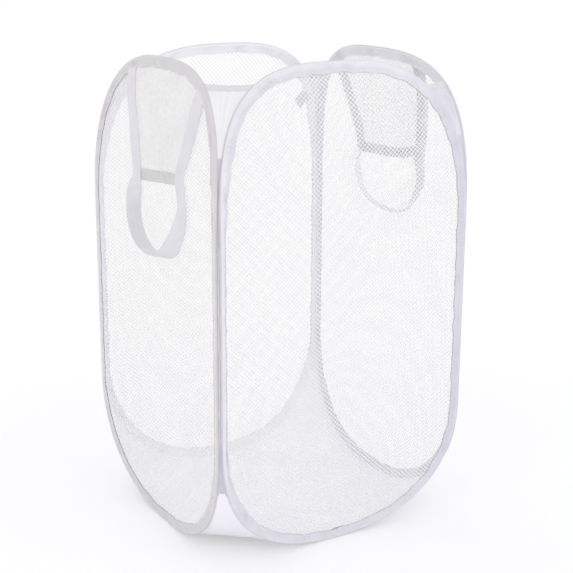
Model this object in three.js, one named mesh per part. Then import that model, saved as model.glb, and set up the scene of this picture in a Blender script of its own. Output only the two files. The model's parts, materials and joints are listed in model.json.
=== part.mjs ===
// Pop-up laundry hamper: four net panels, each held open by a spring-steel wire loop in a sewn
// tape binding. The panels are joined along their upright corner seams, a base sheet is sewn to
// their lower edges, and a small gusset closes each corner between two arches. A handle hangs on
// the outside of the left and of the right panel.
// Millimetres, +Z up. The origin is on the floor at the middle; the front panel faces -Y.

import * as THREE from 'three';

// Overall size
const overallHeight = 600;
const cornerHalfWidth = 172.8; // from the middle to each corner's fold line, along X and along Y
const seatGap = 0.3; // between a piece and what it is sewn to or lies in

// Outline of a panel: straight sides between two arches
const upperArchHeight = 195;
const lowerArchHeight = 161;
const upperArchPower = 2.89; // 2 would be an ellipse, more is squarer
const lowerArchPower = 2.3;

// The arches bow inwards, because the gussets and the base pull on them
const endPanelTopLean = 40; // front and back
const endPanelBottomLean = 20;
const sidePanelTopLean = 23.5; // left and right
const sidePanelBottomLean = 10;

// Spring wire and the crimped tube that joins its two ends
const wireRadius = 0.9;
const wireEndGap = 2;
const ferruleLength = 16;
const ferruleWall = 0.4;

// Binding tape, folded round the wire and over the edge of the net
const tapeThickness = 0.5;
const bindingWidth = 14;
const foldClearance = 0.3; // half of what stays between two bindings when their panels lie in line

// Net of a panel
const netThickness = 0.6;
const netTuck = 4; // from the wire's middle to the net's edge
const netBorder = 2; // plain edge of the net beyond the binding
const netBar = 4;
const netCell = 40; // half the diagonal of a cell
const smallestGapShare = 0.12; // a cut cell smaller than this share of a whole one stays closed
const shortestEdgeShare = 0.4; // of a bar's width: a gap's edge shorter than this is left out
const gapTurn = THREE.MathUtils.degToRad( 0.4 ); // keeps the corners of neighbouring gaps out of line

// Base sheet
const baseThickness = 0.6;
const baseCornerRise = 106;

// Corner gussets: how far below the hamper's top each one's upper edge is sewn
const gussetThickness = 0.5;
const gussetDrops = { front_left: 22, front_right: 34, back_right: 50, back_left: 34 };
const gussetFootDrop = 80;
const gussetHemWidth = 6;
const gussetHemThickness = 1.5;

// Handles: a net flap with a webbing strap round it that hangs below as a loop
const handleShifts = { left: 14, right: -3 }; // along the panel, as sewn
const handleTopHalfWidth = 92;
const handleHemHalfWidth = 63.5;
const handleHemDrop = 143; // below the hamper's top
const handleHemWidth = 14;
const handleLoopHalfWidth = 71;
const handleLoopDrop = 32; // from the hem to the loop's widest place
const handleLoopDepth = 53; // and from there to its bottom
const handleStrapWidth = 22;
const handleStrapThickness = 1;
const handleStrapOverlap = 6; // how far the strap's ends reach over the binding
const handleTwist = THREE.MathUtils.degToRad(80); // of the strap, at the bottom of its loop
const flapThickness = 0.5;
const flapLift = 0.65; // between the panel's net and the flap
const flapTopGap = 2; // between the flap and the binding's inner edge
const flapBorder = 5;
const flapBar = 3;
const flapCell = 21;

// Care label, sewn into the back panel's binding by one corner
const labelSide = 18;
const labelThickness = 0.4;
const labelDrop = 85; // below the hamper's top
const labelTuck = 4; // how far its corner reaches under the binding

// Facets
const upperArchSteps = 18;
const lowerArchSteps = 7; // on each side of the ferrule
const straightSteps = 2;
const wireSides = 6;
const roundSides = 12;
const baseRows = 8;
const gussetRows = 5;
const strapSteps = 4;
const strapLoopSteps = 12;
const flapSideSteps = 4;
const flapTopSteps = 8;
const angleProbe = 0.01;

// Worked out from the sizes above
const ferruleBore = wireRadius + seatGap;
const ferruleRadius = ferruleBore + ferruleWall;
const channelRadius = ferruleRadius + seatGap;
const bindingRadius = channelRadius + tapeThickness;
const edgeOffset = bindingRadius + foldClearance; // fold line to wire, along and out of the panel
const loopHalfWidth = cornerHalfWidth - edgeOffset;
const panelOffset = cornerHalfWidth + edgeOffset;
const upperSpring = overallHeight - upperArchHeight; // where the upper arch leaves the sides
const lowerSpring = lowerArchHeight;
const bindingReach = bindingWidth - bindingRadius; // from the wire's middle to the inner edge
const handleHemHeight = overallHeight - handleHemDrop;
const handleLoopHeight = handleHemHeight - handleLoopDrop;
const legInside = netThickness / 2 + seatGap;
const legOutside = legInside + tapeThickness;

const upwards = new THREE.Vector3( 0, 0, 1 );

const upperArch = {
	spring: upperSpring,
	height: upperArchHeight - bindingRadius,
	power: upperArchPower
};
const lowerArch = {
	spring: lowerSpring,
	height: bindingRadius - lowerArchHeight,
	power: lowerArchPower
};

const panels = [
	{ name: 'front', turn: 0, topLean: endPanelTopLean, bottomLean: endPanelBottomLean },
	{ name: 'right', turn: Math.PI / 2, topLean: sidePanelTopLean, bottomLean: sidePanelBottomLean },
	{ name: 'back', turn: Math.PI, topLean: endPanelTopLean, bottomLean: endPanelBottomLean },
	{ name: 'left', turn: -Math.PI / 2, topLean: sidePanelTopLean, bottomLean: sidePanelBottomLean }
];
const corners = [ 'front_left', 'front_right', 'back_right', 'back_left' ];

const netWhite = new THREE.Color( 0.95, 0.95, 0.96 );
const tapeWhite = new THREE.Color( 0.88, 0.87, 0.91 );
const sheetWhite = new THREE.Color( 0.91, 0.91, 0.93 );
const labelWhite = new THREE.Color( 0.93, 0.93, 0.95 );
const steelGrey = new THREE.Color( 0.55, 0.56, 0.58 );
const crimpGrey = new THREE.Color( 0.72, 0.73, 0.75 );

function cloth( color, roughness ) {

	return new THREE.MeshStandardMaterial( { color, roughness, metalness: 0, side: THREE.DoubleSide } );

}

function metal( color, roughness ) {

	return new THREE.MeshStandardMaterial( { color, roughness, metalness: 1 } );

}

function addPiece( parent, name, geometry, material ) {

	const piece = new THREE.Mesh( geometry, material );
	piece.name = name;
	parent.add( piece );
	return piece;

}

// A closed body from vertices and triangles, with its faces turned outwards.
function closedBody( vertices, triangles ) {

	const across = new THREE.Vector3();
	let volume = 0;
	for ( const [ a, b, c ] of triangles ) {

		across.crossVectors( vertices[ b ], vertices[ c ] );
		volume += vertices[ a ].dot( across );

	}

	const index = [];
	for ( const [ a, b, c ] of triangles ) {

		if ( volume > 0 ) index.push( a, b, c );
		else index.push( a, c, b );

	}

	const geometry = new THREE.BufferGeometry().setFromPoints( vertices );
	geometry.setIndex( index );
	geometry.computeVertexNormals();
	return geometry;

}

// A body skinned over a row of rings that have the same number of points.
function skinned( rings, joined ) {

	const sides = rings[ 0 ].length;
	const vertices = rings.flat();
	const triangles = [];
	const spans = joined ? rings.length : rings.length - 1;
	for ( let r = 0; r < spans; r ++ ) {

		const here = r * sides;
		const there = ( ( r + 1 ) % rings.length ) * sides;
		for ( let s = 0; s < sides; s ++ ) {

			const next = ( s + 1 ) % sides;
			triangles.push( [ here + s, here + next, there + next ], [ here + s, there + next, there + s ] );

		}

	}

	if ( ! joined ) {

		const last = vertices.length - sides;
		for ( let s = 1; s < sides - 1; s ++ ) {

			triangles.push( [ 0, s + 1, s ], [ last, last + s, last + s + 1 ] );

		}

	}

	return closedBody( vertices, triangles );

}

// A sheet of even thickness over a surface given by its middle points, normals and triangles.
function thickSheet( points, normals, triangles, thickness ) {

	const upper = points.map( ( p, i ) => p.clone().addScaledVector( normals[ i ], thickness / 2 ) );
	const lower = points.map( ( p, i ) => p.clone().addScaledVector( normals[ i ], - thickness / 2 ) );
	const count = points.length;
	const faces = [];
	const edgesOf = ( [ a, b, c ] ) => [ [ a, b ], [ b, c ], [ c, a ] ];
	const edges = new Set( triangles.flatMap( edgesOf ).map( String ) );
	for ( const triangle of triangles ) {

		const [ a, b, c ] = triangle;
		faces.push( [ a, b, c ], [ count + a, count + c, count + b ] );
		for ( const [ from, to ] of edgesOf( triangle ) ) {

			if ( edges.has( String( [ to, from ] ) ) ) continue;
			faces.push( [ to, from, count + from ], [ to, count + from, count + to ] );

		}

	}

	return closedBody( [ ...upper, ...lower ], faces );

}

// A point of an arch's centre line, at an angle from its right-hand spring.
function archPoint( arch, angle ) {

	const across = Math.cos( angle );
	const up = Math.sin( angle );
	return new THREE.Vector2(
		loopHalfWidth * Math.sign( across ) * Math.abs( across ) ** ( 2 / arch.power ),
		arch.spring + arch.height * Math.abs( up ) ** ( 2 / arch.power )
	);

}

function archAngleAtHeight( arch, z ) {

	return Math.asin( ( ( z - arch.spring ) / arch.height ) ** ( arch.power / 2 ) );

}

function archAngleAtWidth( arch, u ) {

	return Math.acos( ( u / loopHalfWidth ) ** ( arch.power / 2 ) );

}

// Height of the binding's inner edge in the upper arch, at a distance from the middle.
function archInnerHeight( u ) {

	const share = Math.abs( u ) / ( loopHalfWidth - bindingReach );
	const rise = ( 1 - share ** upperArch.power ) ** ( 1 / upperArch.power );
	return upperArch.spring + ( upperArch.height - bindingReach ) * rise;

}

// Centre line of a wire loop, anticlockwise from the right-hand upper spring. The lower arch
// has no point at its middle, where the ferrule lies between two stations.
function makeStations() {

	const line = [];
	for ( let i = 0; i <= upperArchSteps; i ++ ) line.push( archPoint( upperArch, Math.PI * i / upperArchSteps ) );
	const drop = upperSpring - lowerSpring;
	for ( let i = 1; i < straightSteps; i ++ ) {

		line.push( new THREE.Vector2( - loopHalfWidth, upperSpring - drop * i / straightSteps ) );

	}

	const ferruleAngle = archAngleAtWidth( lowerArch, ferruleLength / 2 + wireEndGap );
	for ( let i = 0; i <= lowerArchSteps; i ++ ) {

		line.push( archPoint( lowerArch, Math.PI - ferruleAngle * i / lowerArchSteps ) );

	}

	for ( let i = lowerArchSteps; i >= 0; i -- ) {

		line.push( archPoint( lowerArch, ferruleAngle * i / lowerArchSteps ) );

	}

	for ( let i = 1; i < straightSteps; i ++ ) {

		line.push( new THREE.Vector2( loopHalfWidth, lowerSpring + drop * i / straightSteps ) );

	}

	return line.map( ( at, i ) => {

		const ahead = line[ ( i + 1 ) % line.length ];
		const behind = line[ ( i + line.length - 1 ) % line.length ];
		const along = ahead.clone().sub( behind ).normalize();
		return { at, inward: new THREE.Vector2( - along.y, along.x ) };

	} );

}

const stations = makeStations();
const ferruleStation = upperArchSteps + straightSteps + lowerArchSteps; // the last one before it

// How far a panel's surface stands inwards of its plane, and its slope there.
function leanAt( panel, z ) {

	const up = Math.max( 0, z - upperSpring ) / upperArchHeight;
	const down = Math.max( 0, lowerSpring - z ) / lowerArchHeight;
	return {
		inward: panel.topLean * up ** 2 + panel.bottomLean * down ** 2,
		slope: 2 * panel.topLean * up / upperArchHeight - 2 * panel.bottomLean * down / lowerArchHeight
	};

}

function panelNormal( panel, z ) {

	return new THREE.Vector3( 0, - 1, leanAt( panel, z ).slope ).normalize();

}

// A point in a panel's own axes: along it, up it, and outwards from its surface.
function place( panel, u, z, out ) {

	const point = new THREE.Vector3( u, leanAt( panel, z ).inward - panelOffset, z );
	return point.addScaledVector( panelNormal( panel, z ), out );

}

function toWorld( panel, point ) {

	return point.applyAxisAngle( upwards, panel.turn );

}

function atStation( panel, station, inward, out ) {

	const { at, inward: way } = station;
	return place( panel, at.x + way.x * inward, at.y + way.y * inward, out );

}

// Spring wire: a round rod bent to the loop, with its ends facing each other in the ferrule.
function makeWire( panel ) {

	const ring = ( station ) => Array.from( { length: wireSides }, ( _, s ) => {

		const angle = 2 * Math.PI * s / wireSides;
		return atStation( panel, station, wireRadius * Math.cos( angle ), wireRadius * Math.sin( angle ) );

	} );
	const before = stations[ ferruleStation ];
	const end = ( side ) => ( {
		at: new THREE.Vector2( side * wireEndGap / 2, before.at.y ),
		inward: new THREE.Vector2( 0, 1 )
	} );
	const order = [ ...stations.slice( ferruleStation + 1 ), ...stations.slice( 0, ferruleStation + 1 ) ];
	return skinned( [ end( 1 ), ...order, end( - 1 ) ].map( ring ), false );

}

function makeFerrule() {

	const half = ferruleLength / 2;
	const profile = [
		new THREE.Vector2( ferruleBore, - half ),
		new THREE.Vector2( ferruleRadius, - half ),
		new THREE.Vector2( ferruleRadius, half ),
		new THREE.Vector2( ferruleBore, half ),
		new THREE.Vector2( ferruleBore, - half )
	];
	return new THREE.LatheGeometry( profile, roundSides ).rotateZ( Math.PI / 2 );

}

// Section of the binding: round outside the wire, with two legs that hold the net between them.
function bindingSection() {

	const eighth = Math.PI / 4;
	const outside = [ 2, 3, 4, 5, 6 ].map( ( n ) => [
		bindingRadius * Math.cos( n * eighth ),
		bindingRadius * Math.sin( n * eighth )
	] );
	const channel = [ 6, 5, 4, 3, 2 ].map( ( n ) => [
		channelRadius * Math.cos( n * eighth ),
		channelRadius * Math.sin( n * eighth )
	] );
	const throat = 2 * channelRadius - legInside;
	return [
		...outside,
		[ bindingReach, - legOutside ],
		[ bindingReach, - legInside ],
		[ throat, - legInside ],
		...channel,
		[ throat, legInside ],
		[ bindingReach, legInside ],
		[ bindingReach, legOutside ]
	];

}

function makeBinding( panel ) {

	const section = bindingSection();
	const ring = ( station ) => section.map( ( [ inward, out ] ) => atStation( panel, station, inward, out ) );
	return skinned( stations.map( ring ), true );

}

// The part of a polygon inside a convex outline that runs anticlockwise.
function clipped( polygon, outline ) {

	let kept = polygon;
	outline.forEach( ( from, i ) => {

		const to = outline[ ( i + 1 ) % outline.length ];
		const edge = to.clone().sub( from );
		const side = ( p ) => edge.cross( p.clone().sub( from ) );
		const cut = [];
		kept.forEach( ( here, k ) => {

			const next = kept[ ( k + 1 ) % kept.length ];
			const [ a, b ] = [ side( here ), side( next ) ];
			if ( a >= 0 ) cut.push( here );
			if ( a * b < 0 ) cut.push( here.clone().lerp( next, a / ( a - b ) ) );

		} );
		kept = cut;

	} );
	return kept;

}

// Diamond gaps of a net, in staggered rows about a middle point, cut off at an outline.
function netGaps( outline, middle, cell, bar ) {

	const reach = cell - bar / Math.SQRT2;
	const box = new THREE.Box2().setFromPoints( outline );
	const whole = 2 * reach ** 2;
	const gaps = [];
	const rows = Math.ceil( ( box.max.y - box.min.y ) / cell );
	const columns = Math.ceil( ( box.max.x - box.min.x ) / cell );
	for ( let row = - rows; row <= rows; row ++ ) {

		for ( let column = - columns; column <= columns; column ++ ) {

			if ( ( row + column ) % 2 ) continue;
			const x = middle.x + column * cell;
			const y = middle.y + row * cell;
			const diamond = [
				new THREE.Vector2( x + reach, y ),
				new THREE.Vector2( x, y + reach ),
				new THREE.Vector2( x - reach, y ),
				new THREE.Vector2( x, y - reach )
			];
			const cut = clipped( diamond, outline );
			const shortest = shortestEdgeShare * bar;
			const gap = cut.filter( ( p, i ) => p.distanceTo( cut[ ( i + 1 ) % cut.length ] ) > shortest );
			if ( gap.length < 3 || THREE.ShapeUtils.area( gap ) < smallestGapShare * whole ) continue;
			gaps.push( gap.map( ( p ) => p.clone().rotateAround( new THREE.Vector2( x, y ), gapTurn ) ) );

		}

	}

	return gaps;

}

// Turns the shared edges of neighbouring triangles until none is long and thin without need.
function evened( plan, faces ) {

	const angleAt = ( tip, a, b ) => {

		const [ p, q ] = [ a, b ].map( ( i ) => plan[ i ].clone().sub( plan[ tip ] ) );
		return p.angleTo( q );

	};
	let turning = true;
	while ( turning ) {

		turning = false;
		const owner = new Map();
		faces.forEach( ( face, f ) => face.forEach( ( a, k ) => {

			owner.set( String( [ a, face[ ( k + 1 ) % 3 ] ] ), f );

		} ) );
		const turned = new Set();
		faces.forEach( ( face, f ) => {

			for ( let k = 0; k < 3 && ! turned.has( f ); k ++ ) {

				const [ a, b, c ] = [ face[ k ], face[ ( k + 1 ) % 3 ], face[ ( k + 2 ) % 3 ] ];
				const g = owner.get( String( [ b, a ] ) );
				if ( g === undefined || turned.has( g ) ) continue;
				const d = faces[ g ].find( ( v ) => v !== a && v !== b );
				if ( angleAt( c, a, b ) + angleAt( d, a, b ) <= Math.PI * ( 1 + angleProbe ) ) continue;
				faces[ f ] = [ c, a, d ];
				faces[ g ] = [ d, b, c ];
				turned.add( f ).add( g );
				turning = true;

			}

		} );

	}

	return faces;

}

// A net in a panel's surface: an outline with gaps, and rings of points round the outline.
function netSheet( panel, rings, gaps, out, thickness ) {

	const flat = rings.flat();
	const triangles = [];
	const count = rings[ 0 ].length;
	for ( let r = 0; r + 1 < rings.length; r ++ ) {

		for ( let s = 0; s < count; s ++ ) {

			const next = ( s + 1 ) % count;
			const [ here, there ] = [ r * count, ( r + 1 ) * count ];
			triangles.push( [ here + s, here + next, there + next ], [ here + s, there + next, there + s ] );

		}

	}

	const inner = rings[ rings.length - 1 ];
	const first = flat.length - inner.length;
	const holes = gaps.map( ( gap ) => gap.slice().reverse() );
	const plan = [ ...flat, ...holes.flat() ];
	const faces = THREE.ShapeUtils.triangulateShape( inner.slice(), holes );
	triangles.push( ...evened( plan, faces.map( ( face ) => face.map( ( i ) => first + i ) ) ) );
	const points = plan.map( ( p ) => place( panel, p.x, p.y, out ) );
	const normals = plan.map( ( p ) => panelNormal( panel, p.y ) );
	return thickSheet( points, normals, triangles, thickness );

}

function makePanelNet( panel ) {

	const ringAt = ( inward ) => stations.map( ( station ) => {

		return station.at.clone().addScaledVector( station.inward, inward );

	} );
	const border = bindingReach + netBorder;
	const middle = new THREE.Vector2( 0, ( upperSpring + lowerSpring ) / 2 );
	const gaps = netGaps( ringAt( border + netBar ), middle, netCell, netBar );
	return netSheet( panel, [ ringAt( netTuck ), ringAt( border ) ], gaps, 0, netThickness );

}

// One row of a sheet that spans a corner: the two ends of the chord between the arches.
function cornerChord( corner, arch, angle, clearance ) {

	const after = panels[ corner ];
	const before = panels[ ( corner + panels.length - 1 ) % panels.length ];
	const ends = [ [ before, angle, 1 ], [ after, Math.PI - angle, - 1 ] ].map( ( [ panel, at, way ] ) => {

		const [ here, ahead, behind ] = [ 0, angleProbe, - angleProbe ].map( ( step ) => {

			const p = archPoint( arch, at + way * step );
			return toWorld( panel, place( panel, p.x, p.y, 0 ) );

		} );
		return { here, along: ahead.sub( behind ).normalize() };

	} );
	const chord = ends[ 1 ].here.clone().sub( ends[ 0 ].here ).normalize();
	const row = ends.map( ( { here, along }, i ) => {

		const inset = clearance / along.clone().cross( chord ).length();
		return here.clone().addScaledVector( chord, i ? - inset : inset );

	} );
	return { row, chord };

}

// Rows between two heights of an arch, each with its normal, which faces out of the hamper.
function cornerRows( corner, arch, angles, clearance ) {

	const made = angles.map( ( angle ) => cornerChord( corner, arch, angle, clearance ) );
	const middles = made.map( ( { row } ) => row[ 0 ].clone().lerp( row[ 1 ], 0.5 ) );
	return made.map( ( { row, chord }, i ) => {

		const rise = middles[ Math.min( i + 1, made.length - 1 ) ].clone().sub( middles[ Math.max( i - 1, 0 ) ] );
		const normal = chord.clone().cross( rise ).normalize();
		if ( normal.dot( middles[ i ].clone().setZ( 0 ) ) < 0 ) normal.negate();
		return { row, normal };

	} );

}

function rowTriangles( rows, first ) {

	const triangles = [];
	for ( let r = 0; r + 1 < rows; r ++ ) {

		const [ a, b, c, d ] = [ 0, 1, 2, 3 ].map( ( n ) => first + 2 * r + n );
		triangles.push( [ a, b, d ], [ a, d, c ] );

	}

	return triangles;

}

function cornerSheet( corner, low, high, rows, thickness ) {

	const clearance = bindingRadius + seatGap + thickness / 2;
	const angles = Array.from( { length: rows + 1 }, ( _, i ) => {

		return archAngleAtHeight( upperArch, low + ( high - low ) * i / rows );

	} );
	const made = cornerRows( corner, upperArch, angles, clearance );
	const points = made.flatMap( ( { row } ) => row );
	const normals = made.flatMap( ( { normal } ) => [ normal, normal ] );
	return thickSheet( points, normals, rowTriangles( made.length, 0 ), thickness );

}

// Base: flat in the middle, with each corner drawn up between the two lower arches.
function makeBase() {

	const clearance = bindingRadius + seatGap + baseThickness / 2;
	const steepest = archAngleAtHeight( lowerArch, baseCornerRise );
	const angles = Array.from( { length: baseRows + 1 }, ( _, i ) => {

		return Math.PI / 2 + ( steepest - Math.PI / 2 ) * i / baseRows;

	} );
	const points = [];
	const normals = [];
	const triangles = [];
	const floor = [];
	const drop = bindingRadius - baseThickness / 2;
	corners.forEach( ( _, corner ) => {

		const first = points.length;
		cornerRows( corner, lowerArch, angles, clearance ).forEach( ( { row, normal }, i ) => {

			if ( i === 0 ) {

				normal.set( 0, 0, - 1 );
				floor.push( first, first + 1 );

			}

			for ( const end of row ) {

				end.z -= drop;
				points.push( end );
				normals.push( normal );

			}

		} );
		triangles.push( ...rowTriangles( baseRows + 1, first ) );

	} );
	for ( let i = 1; i + 1 < floor.length; i ++ ) triangles.push( [ floor[ 0 ], floor[ i + 1 ], floor[ i ] ] );
	return thickSheet( points, normals, triangles, baseThickness );

}

// Rolled seam along a corner's fold line, between the bindings of the two panels.
function makeSeam() {

	const radius = Math.hypot( edgeOffset, edgeOffset ) - bindingRadius - seatGap;
	const length = upperSpring - lowerSpring;
	return new THREE.CylinderGeometry( radius, radius, length, roundSides ).rotateX( Math.PI / 2 );

}

const flapOut = netThickness / 2 + flapLift + flapThickness / 2;
const strapOut = bindingSurfaceAt( bindingReach - handleStrapOverlap ) + seatGap + handleStrapThickness / 2;

// Height of the binding's outer surface over the panel's own surface.
function bindingSurfaceAt( inward ) {

	return bindingRadius + ( legOutside - bindingRadius ) * inward / bindingReach;

}

// Where the strap's middle line ends on the arch, on one side of a handle.
function strapTop( shift, side ) {

	const u = shift + side * handleTopHalfWidth;
	const outer = u + side * handleStrapWidth / 2;
	return new THREE.Vector2( u, archInnerHeight( outer ) + handleStrapOverlap );

}

function makeStrap( panel, shift ) {

	const line = [];
	const corner = ( side ) => new THREE.Vector2( shift + side * handleHemHalfWidth, handleHemHeight );
	for ( let i = 0; i < strapSteps; i ++ ) {

		line.push( { at: strapTop( shift, 1 ).lerp( corner( 1 ), i / strapSteps ), twist: 0 } );

	}

	line.push( { at: corner( 1 ), twist: 0 } );
	for ( let i = 0; i <= strapLoopSteps; i ++ ) {

		const angle = Math.PI * i / strapLoopSteps;
		const u = shift + handleLoopHalfWidth * Math.cos( angle );
		const z = handleLoopHeight - handleLoopDepth * Math.sin( angle );
		line.push( { at: new THREE.Vector2( u, z ), twist: handleTwist * Math.sin( angle ) } );

	}

	line.push( { at: corner( - 1 ), twist: 0 } );
	for ( let i = strapSteps - 1; i >= 0; i -- ) {

		line.push( { at: strapTop( shift, - 1 ).lerp( corner( - 1 ), i / strapSteps ), twist: 0 } );

	}

	const rings = line.map( ( { at, twist }, i ) => {

		const ahead = line[ Math.min( i + 1, line.length - 1 ) ].at;
		const behind = line[ Math.max( i - 1, 0 ) ].at;
		const along = ahead.clone().sub( behind ).normalize();
		const [ sin, cos ] = [ Math.sin( twist ), Math.cos( twist ) ];
		const out = strapOut + handleStrapWidth / 2 * sin;
		return [ [ 1, 1 ], [ 1, - 1 ], [ - 1, - 1 ], [ - 1, 1 ] ].map( ( [ w, t ] ) => {

			const across = w * handleStrapWidth / 2;
			const thick = t * handleStrapThickness / 2;
			const sideways = across * cos - thick * sin;
			return place(
				panel,
				at.x + along.y * sideways,
				at.y - along.x * sideways,
				out + across * sin + thick * cos
			);

		} );

	} );
	return skinned( rings, false );

}

function makeHandleHem( panel, shift ) {

	const half = handleHemHalfWidth - handleStrapWidth / 2 - seatGap * 2;
	const ring = ( side ) => [ [ 1, 1 ], [ 1, - 1 ], [ - 1, - 1 ], [ - 1, 1 ] ].map( ( [ up, t ] ) => place(
		panel,
		shift + side * half,
		handleHemHeight + up * handleHemWidth / 2,
		strapOut + t * handleStrapThickness / 2
	) );
	return skinned( [ ring( - 1 ), ring( 1 ) ], false );

}

function makeFlap( panel, shift ) {

	const outlineAt = ( inset ) => {

		const hem = handleHemHalfWidth - inset;
		const top = handleTopHalfWidth - inset;
		const foot = handleHemHeight + inset;
		const heightAt = ( u ) => archInnerHeight( u ) - flapTopGap - inset;
		const points = [];
		for ( let i = 0; i < flapSideSteps; i ++ ) {

			const high = heightAt( shift + top );
			const share = i / flapSideSteps;
			points.push( new THREE.Vector2( shift + hem + ( top - hem ) * share, foot + ( high - foot ) * share ) );

		}

		for ( let i = 0; i <= flapTopSteps; i ++ ) {

			const u = shift + top - 2 * top * i / flapTopSteps;
			points.push( new THREE.Vector2( u, heightAt( u ) ) );

		}

		for ( let i = flapSideSteps - 1; i >= 0; i -- ) {

			const high = heightAt( shift - top );
			const share = i / flapSideSteps;
			points.push( new THREE.Vector2( shift - hem - ( top - hem ) * share, foot + ( high - foot ) * share ) );

		}

		return points;

	};
	const middle = new THREE.Vector2( shift, handleHemHeight + handleHemWidth + flapCell );
	const gaps = netGaps( outlineAt( flapBorder ), middle, flapCell, flapBar );
	return netSheet( panel, [ outlineAt( 0 ) ], gaps, flapOut, flapThickness );

}

function makeLabel( panel ) {

	const half = labelSide / Math.SQRT2;
	const height = overallHeight - labelDrop;
	const edge = archAngleAtHeight( upperArch, height );
	const u = archPoint( upperArch, edge ).x - bindingReach + labelTuck - half;
	const out = - ( bindingSurfaceAt( bindingReach - labelTuck ) + seatGap + labelThickness / 2 );
	const plan = [ [ half, 0 ], [ 0, half ], [ - half, 0 ], [ 0, - half ] ].map( ( [ x, y ] ) => [ x - u, y + height ] );
	const points = plan.map( ( [ x, y ] ) => place( panel, x, y, out ) );
	const normals = plan.map( ( [ , y ] ) => panelNormal( panel, y ) );
	return thickSheet( points, normals, [ [ 0, 1, 2 ], [ 0, 2, 3 ] ], labelThickness );

}

const hamper = new THREE.Group();

for ( const panel of panels ) {

	const frame = new THREE.Group();
	frame.rotation.z = panel.turn;
	hamper.add( frame );
	addPiece( frame, `${ panel.name }_wire`, makeWire( panel ), metal( steelGrey, 0.35 ) );
	const ferrule = addPiece( frame, `${ panel.name }_ferrule`, makeFerrule(), metal( crimpGrey, 0.3 ) );
	const { at } = stations[ ferruleStation ];
	ferrule.position.copy( place( panel, 0, at.y, 0 ) );
	addPiece( frame, `${ panel.name }_binding`, makeBinding( panel ), cloth( tapeWhite, 0.75 ) );
	addPiece( frame, `${ panel.name }_net`, makePanelNet( panel ), cloth( netWhite, 0.8 ) );
	const shift = handleShifts[ panel.name ];
	if ( shift !== undefined ) {

		addPiece( frame, `${ panel.name }_handle_flap`, makeFlap( panel, shift ), cloth( netWhite, 0.8 ) );
		addPiece( frame, `${ panel.name }_handle_hem`, makeHandleHem( panel, shift ), cloth( tapeWhite, 0.75 ) );
		addPiece( frame, `${ panel.name }_handle_strap`, makeStrap( panel, shift ), cloth( tapeWhite, 0.7 ) );

	}

	if ( panel.name === 'back' ) addPiece( frame, 'care_label', makeLabel( panel ), cloth( labelWhite, 0.6 ) );

}

corners.forEach( ( name, corner ) => {

	const top = overallHeight - gussetDrops[ name ];
	const hem = top - gussetHemWidth;
	const foot = overallHeight - gussetFootDrop;
	const gusset = cornerSheet( corner, foot, hem - seatGap, gussetRows, gussetThickness );
	addPiece( hamper, `${ name }_gusset`, gusset, cloth( sheetWhite, 0.6 ) );
	const tape = cornerSheet( corner, hem, top, 1, gussetHemThickness );
	addPiece( hamper, `${ name }_gusset_hem`, tape, cloth( tapeWhite, 0.75 ) );
	const seam = addPiece( hamper, `${ name }_seam`, makeSeam(), cloth( tapeWhite, 0.75 ) );
	const foldLine = new THREE.Vector3( - cornerHalfWidth, - cornerHalfWidth, ( upperSpring + lowerSpring ) / 2 );
	seam.position.copy( toWorld( panels[ corner ], foldLine ) );

} );

addPiece( hamper, 'base_sheet', makeBase(), cloth( sheetWhite, 0.6 ) );

export default hamper;
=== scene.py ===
"""Looks of the pop-up mesh laundry hamper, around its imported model. Metres, +Z up."""

import json
import math

import bpy
import numpy as np
from mathutils import Matrix, Vector

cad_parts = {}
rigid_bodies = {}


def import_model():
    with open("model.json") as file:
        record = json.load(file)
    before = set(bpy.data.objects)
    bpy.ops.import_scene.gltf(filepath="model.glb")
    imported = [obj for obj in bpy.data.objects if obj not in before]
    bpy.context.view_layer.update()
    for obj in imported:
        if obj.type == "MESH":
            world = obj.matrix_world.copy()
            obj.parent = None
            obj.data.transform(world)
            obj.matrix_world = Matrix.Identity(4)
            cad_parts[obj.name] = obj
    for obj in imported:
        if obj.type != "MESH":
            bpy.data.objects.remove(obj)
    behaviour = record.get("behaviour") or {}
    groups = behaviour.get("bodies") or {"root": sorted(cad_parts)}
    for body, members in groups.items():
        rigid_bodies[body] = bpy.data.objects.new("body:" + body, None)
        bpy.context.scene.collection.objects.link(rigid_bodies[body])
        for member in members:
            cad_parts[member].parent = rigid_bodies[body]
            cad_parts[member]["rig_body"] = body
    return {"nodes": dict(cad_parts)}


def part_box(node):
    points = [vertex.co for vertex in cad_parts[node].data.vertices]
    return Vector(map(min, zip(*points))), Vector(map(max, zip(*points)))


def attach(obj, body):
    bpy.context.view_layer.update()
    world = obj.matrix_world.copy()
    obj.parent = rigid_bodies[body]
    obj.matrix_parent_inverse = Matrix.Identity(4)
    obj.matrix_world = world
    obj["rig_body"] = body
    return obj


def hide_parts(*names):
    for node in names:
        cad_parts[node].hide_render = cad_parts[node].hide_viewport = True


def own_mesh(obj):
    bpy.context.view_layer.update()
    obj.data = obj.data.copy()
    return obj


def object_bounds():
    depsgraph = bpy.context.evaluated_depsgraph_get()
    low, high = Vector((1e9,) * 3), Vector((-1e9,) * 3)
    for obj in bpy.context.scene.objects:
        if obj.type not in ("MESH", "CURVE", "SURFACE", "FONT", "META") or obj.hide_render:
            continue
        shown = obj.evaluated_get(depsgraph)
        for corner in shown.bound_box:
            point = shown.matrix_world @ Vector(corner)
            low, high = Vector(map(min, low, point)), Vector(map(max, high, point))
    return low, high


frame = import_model()
cad_low, cad_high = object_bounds()

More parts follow.
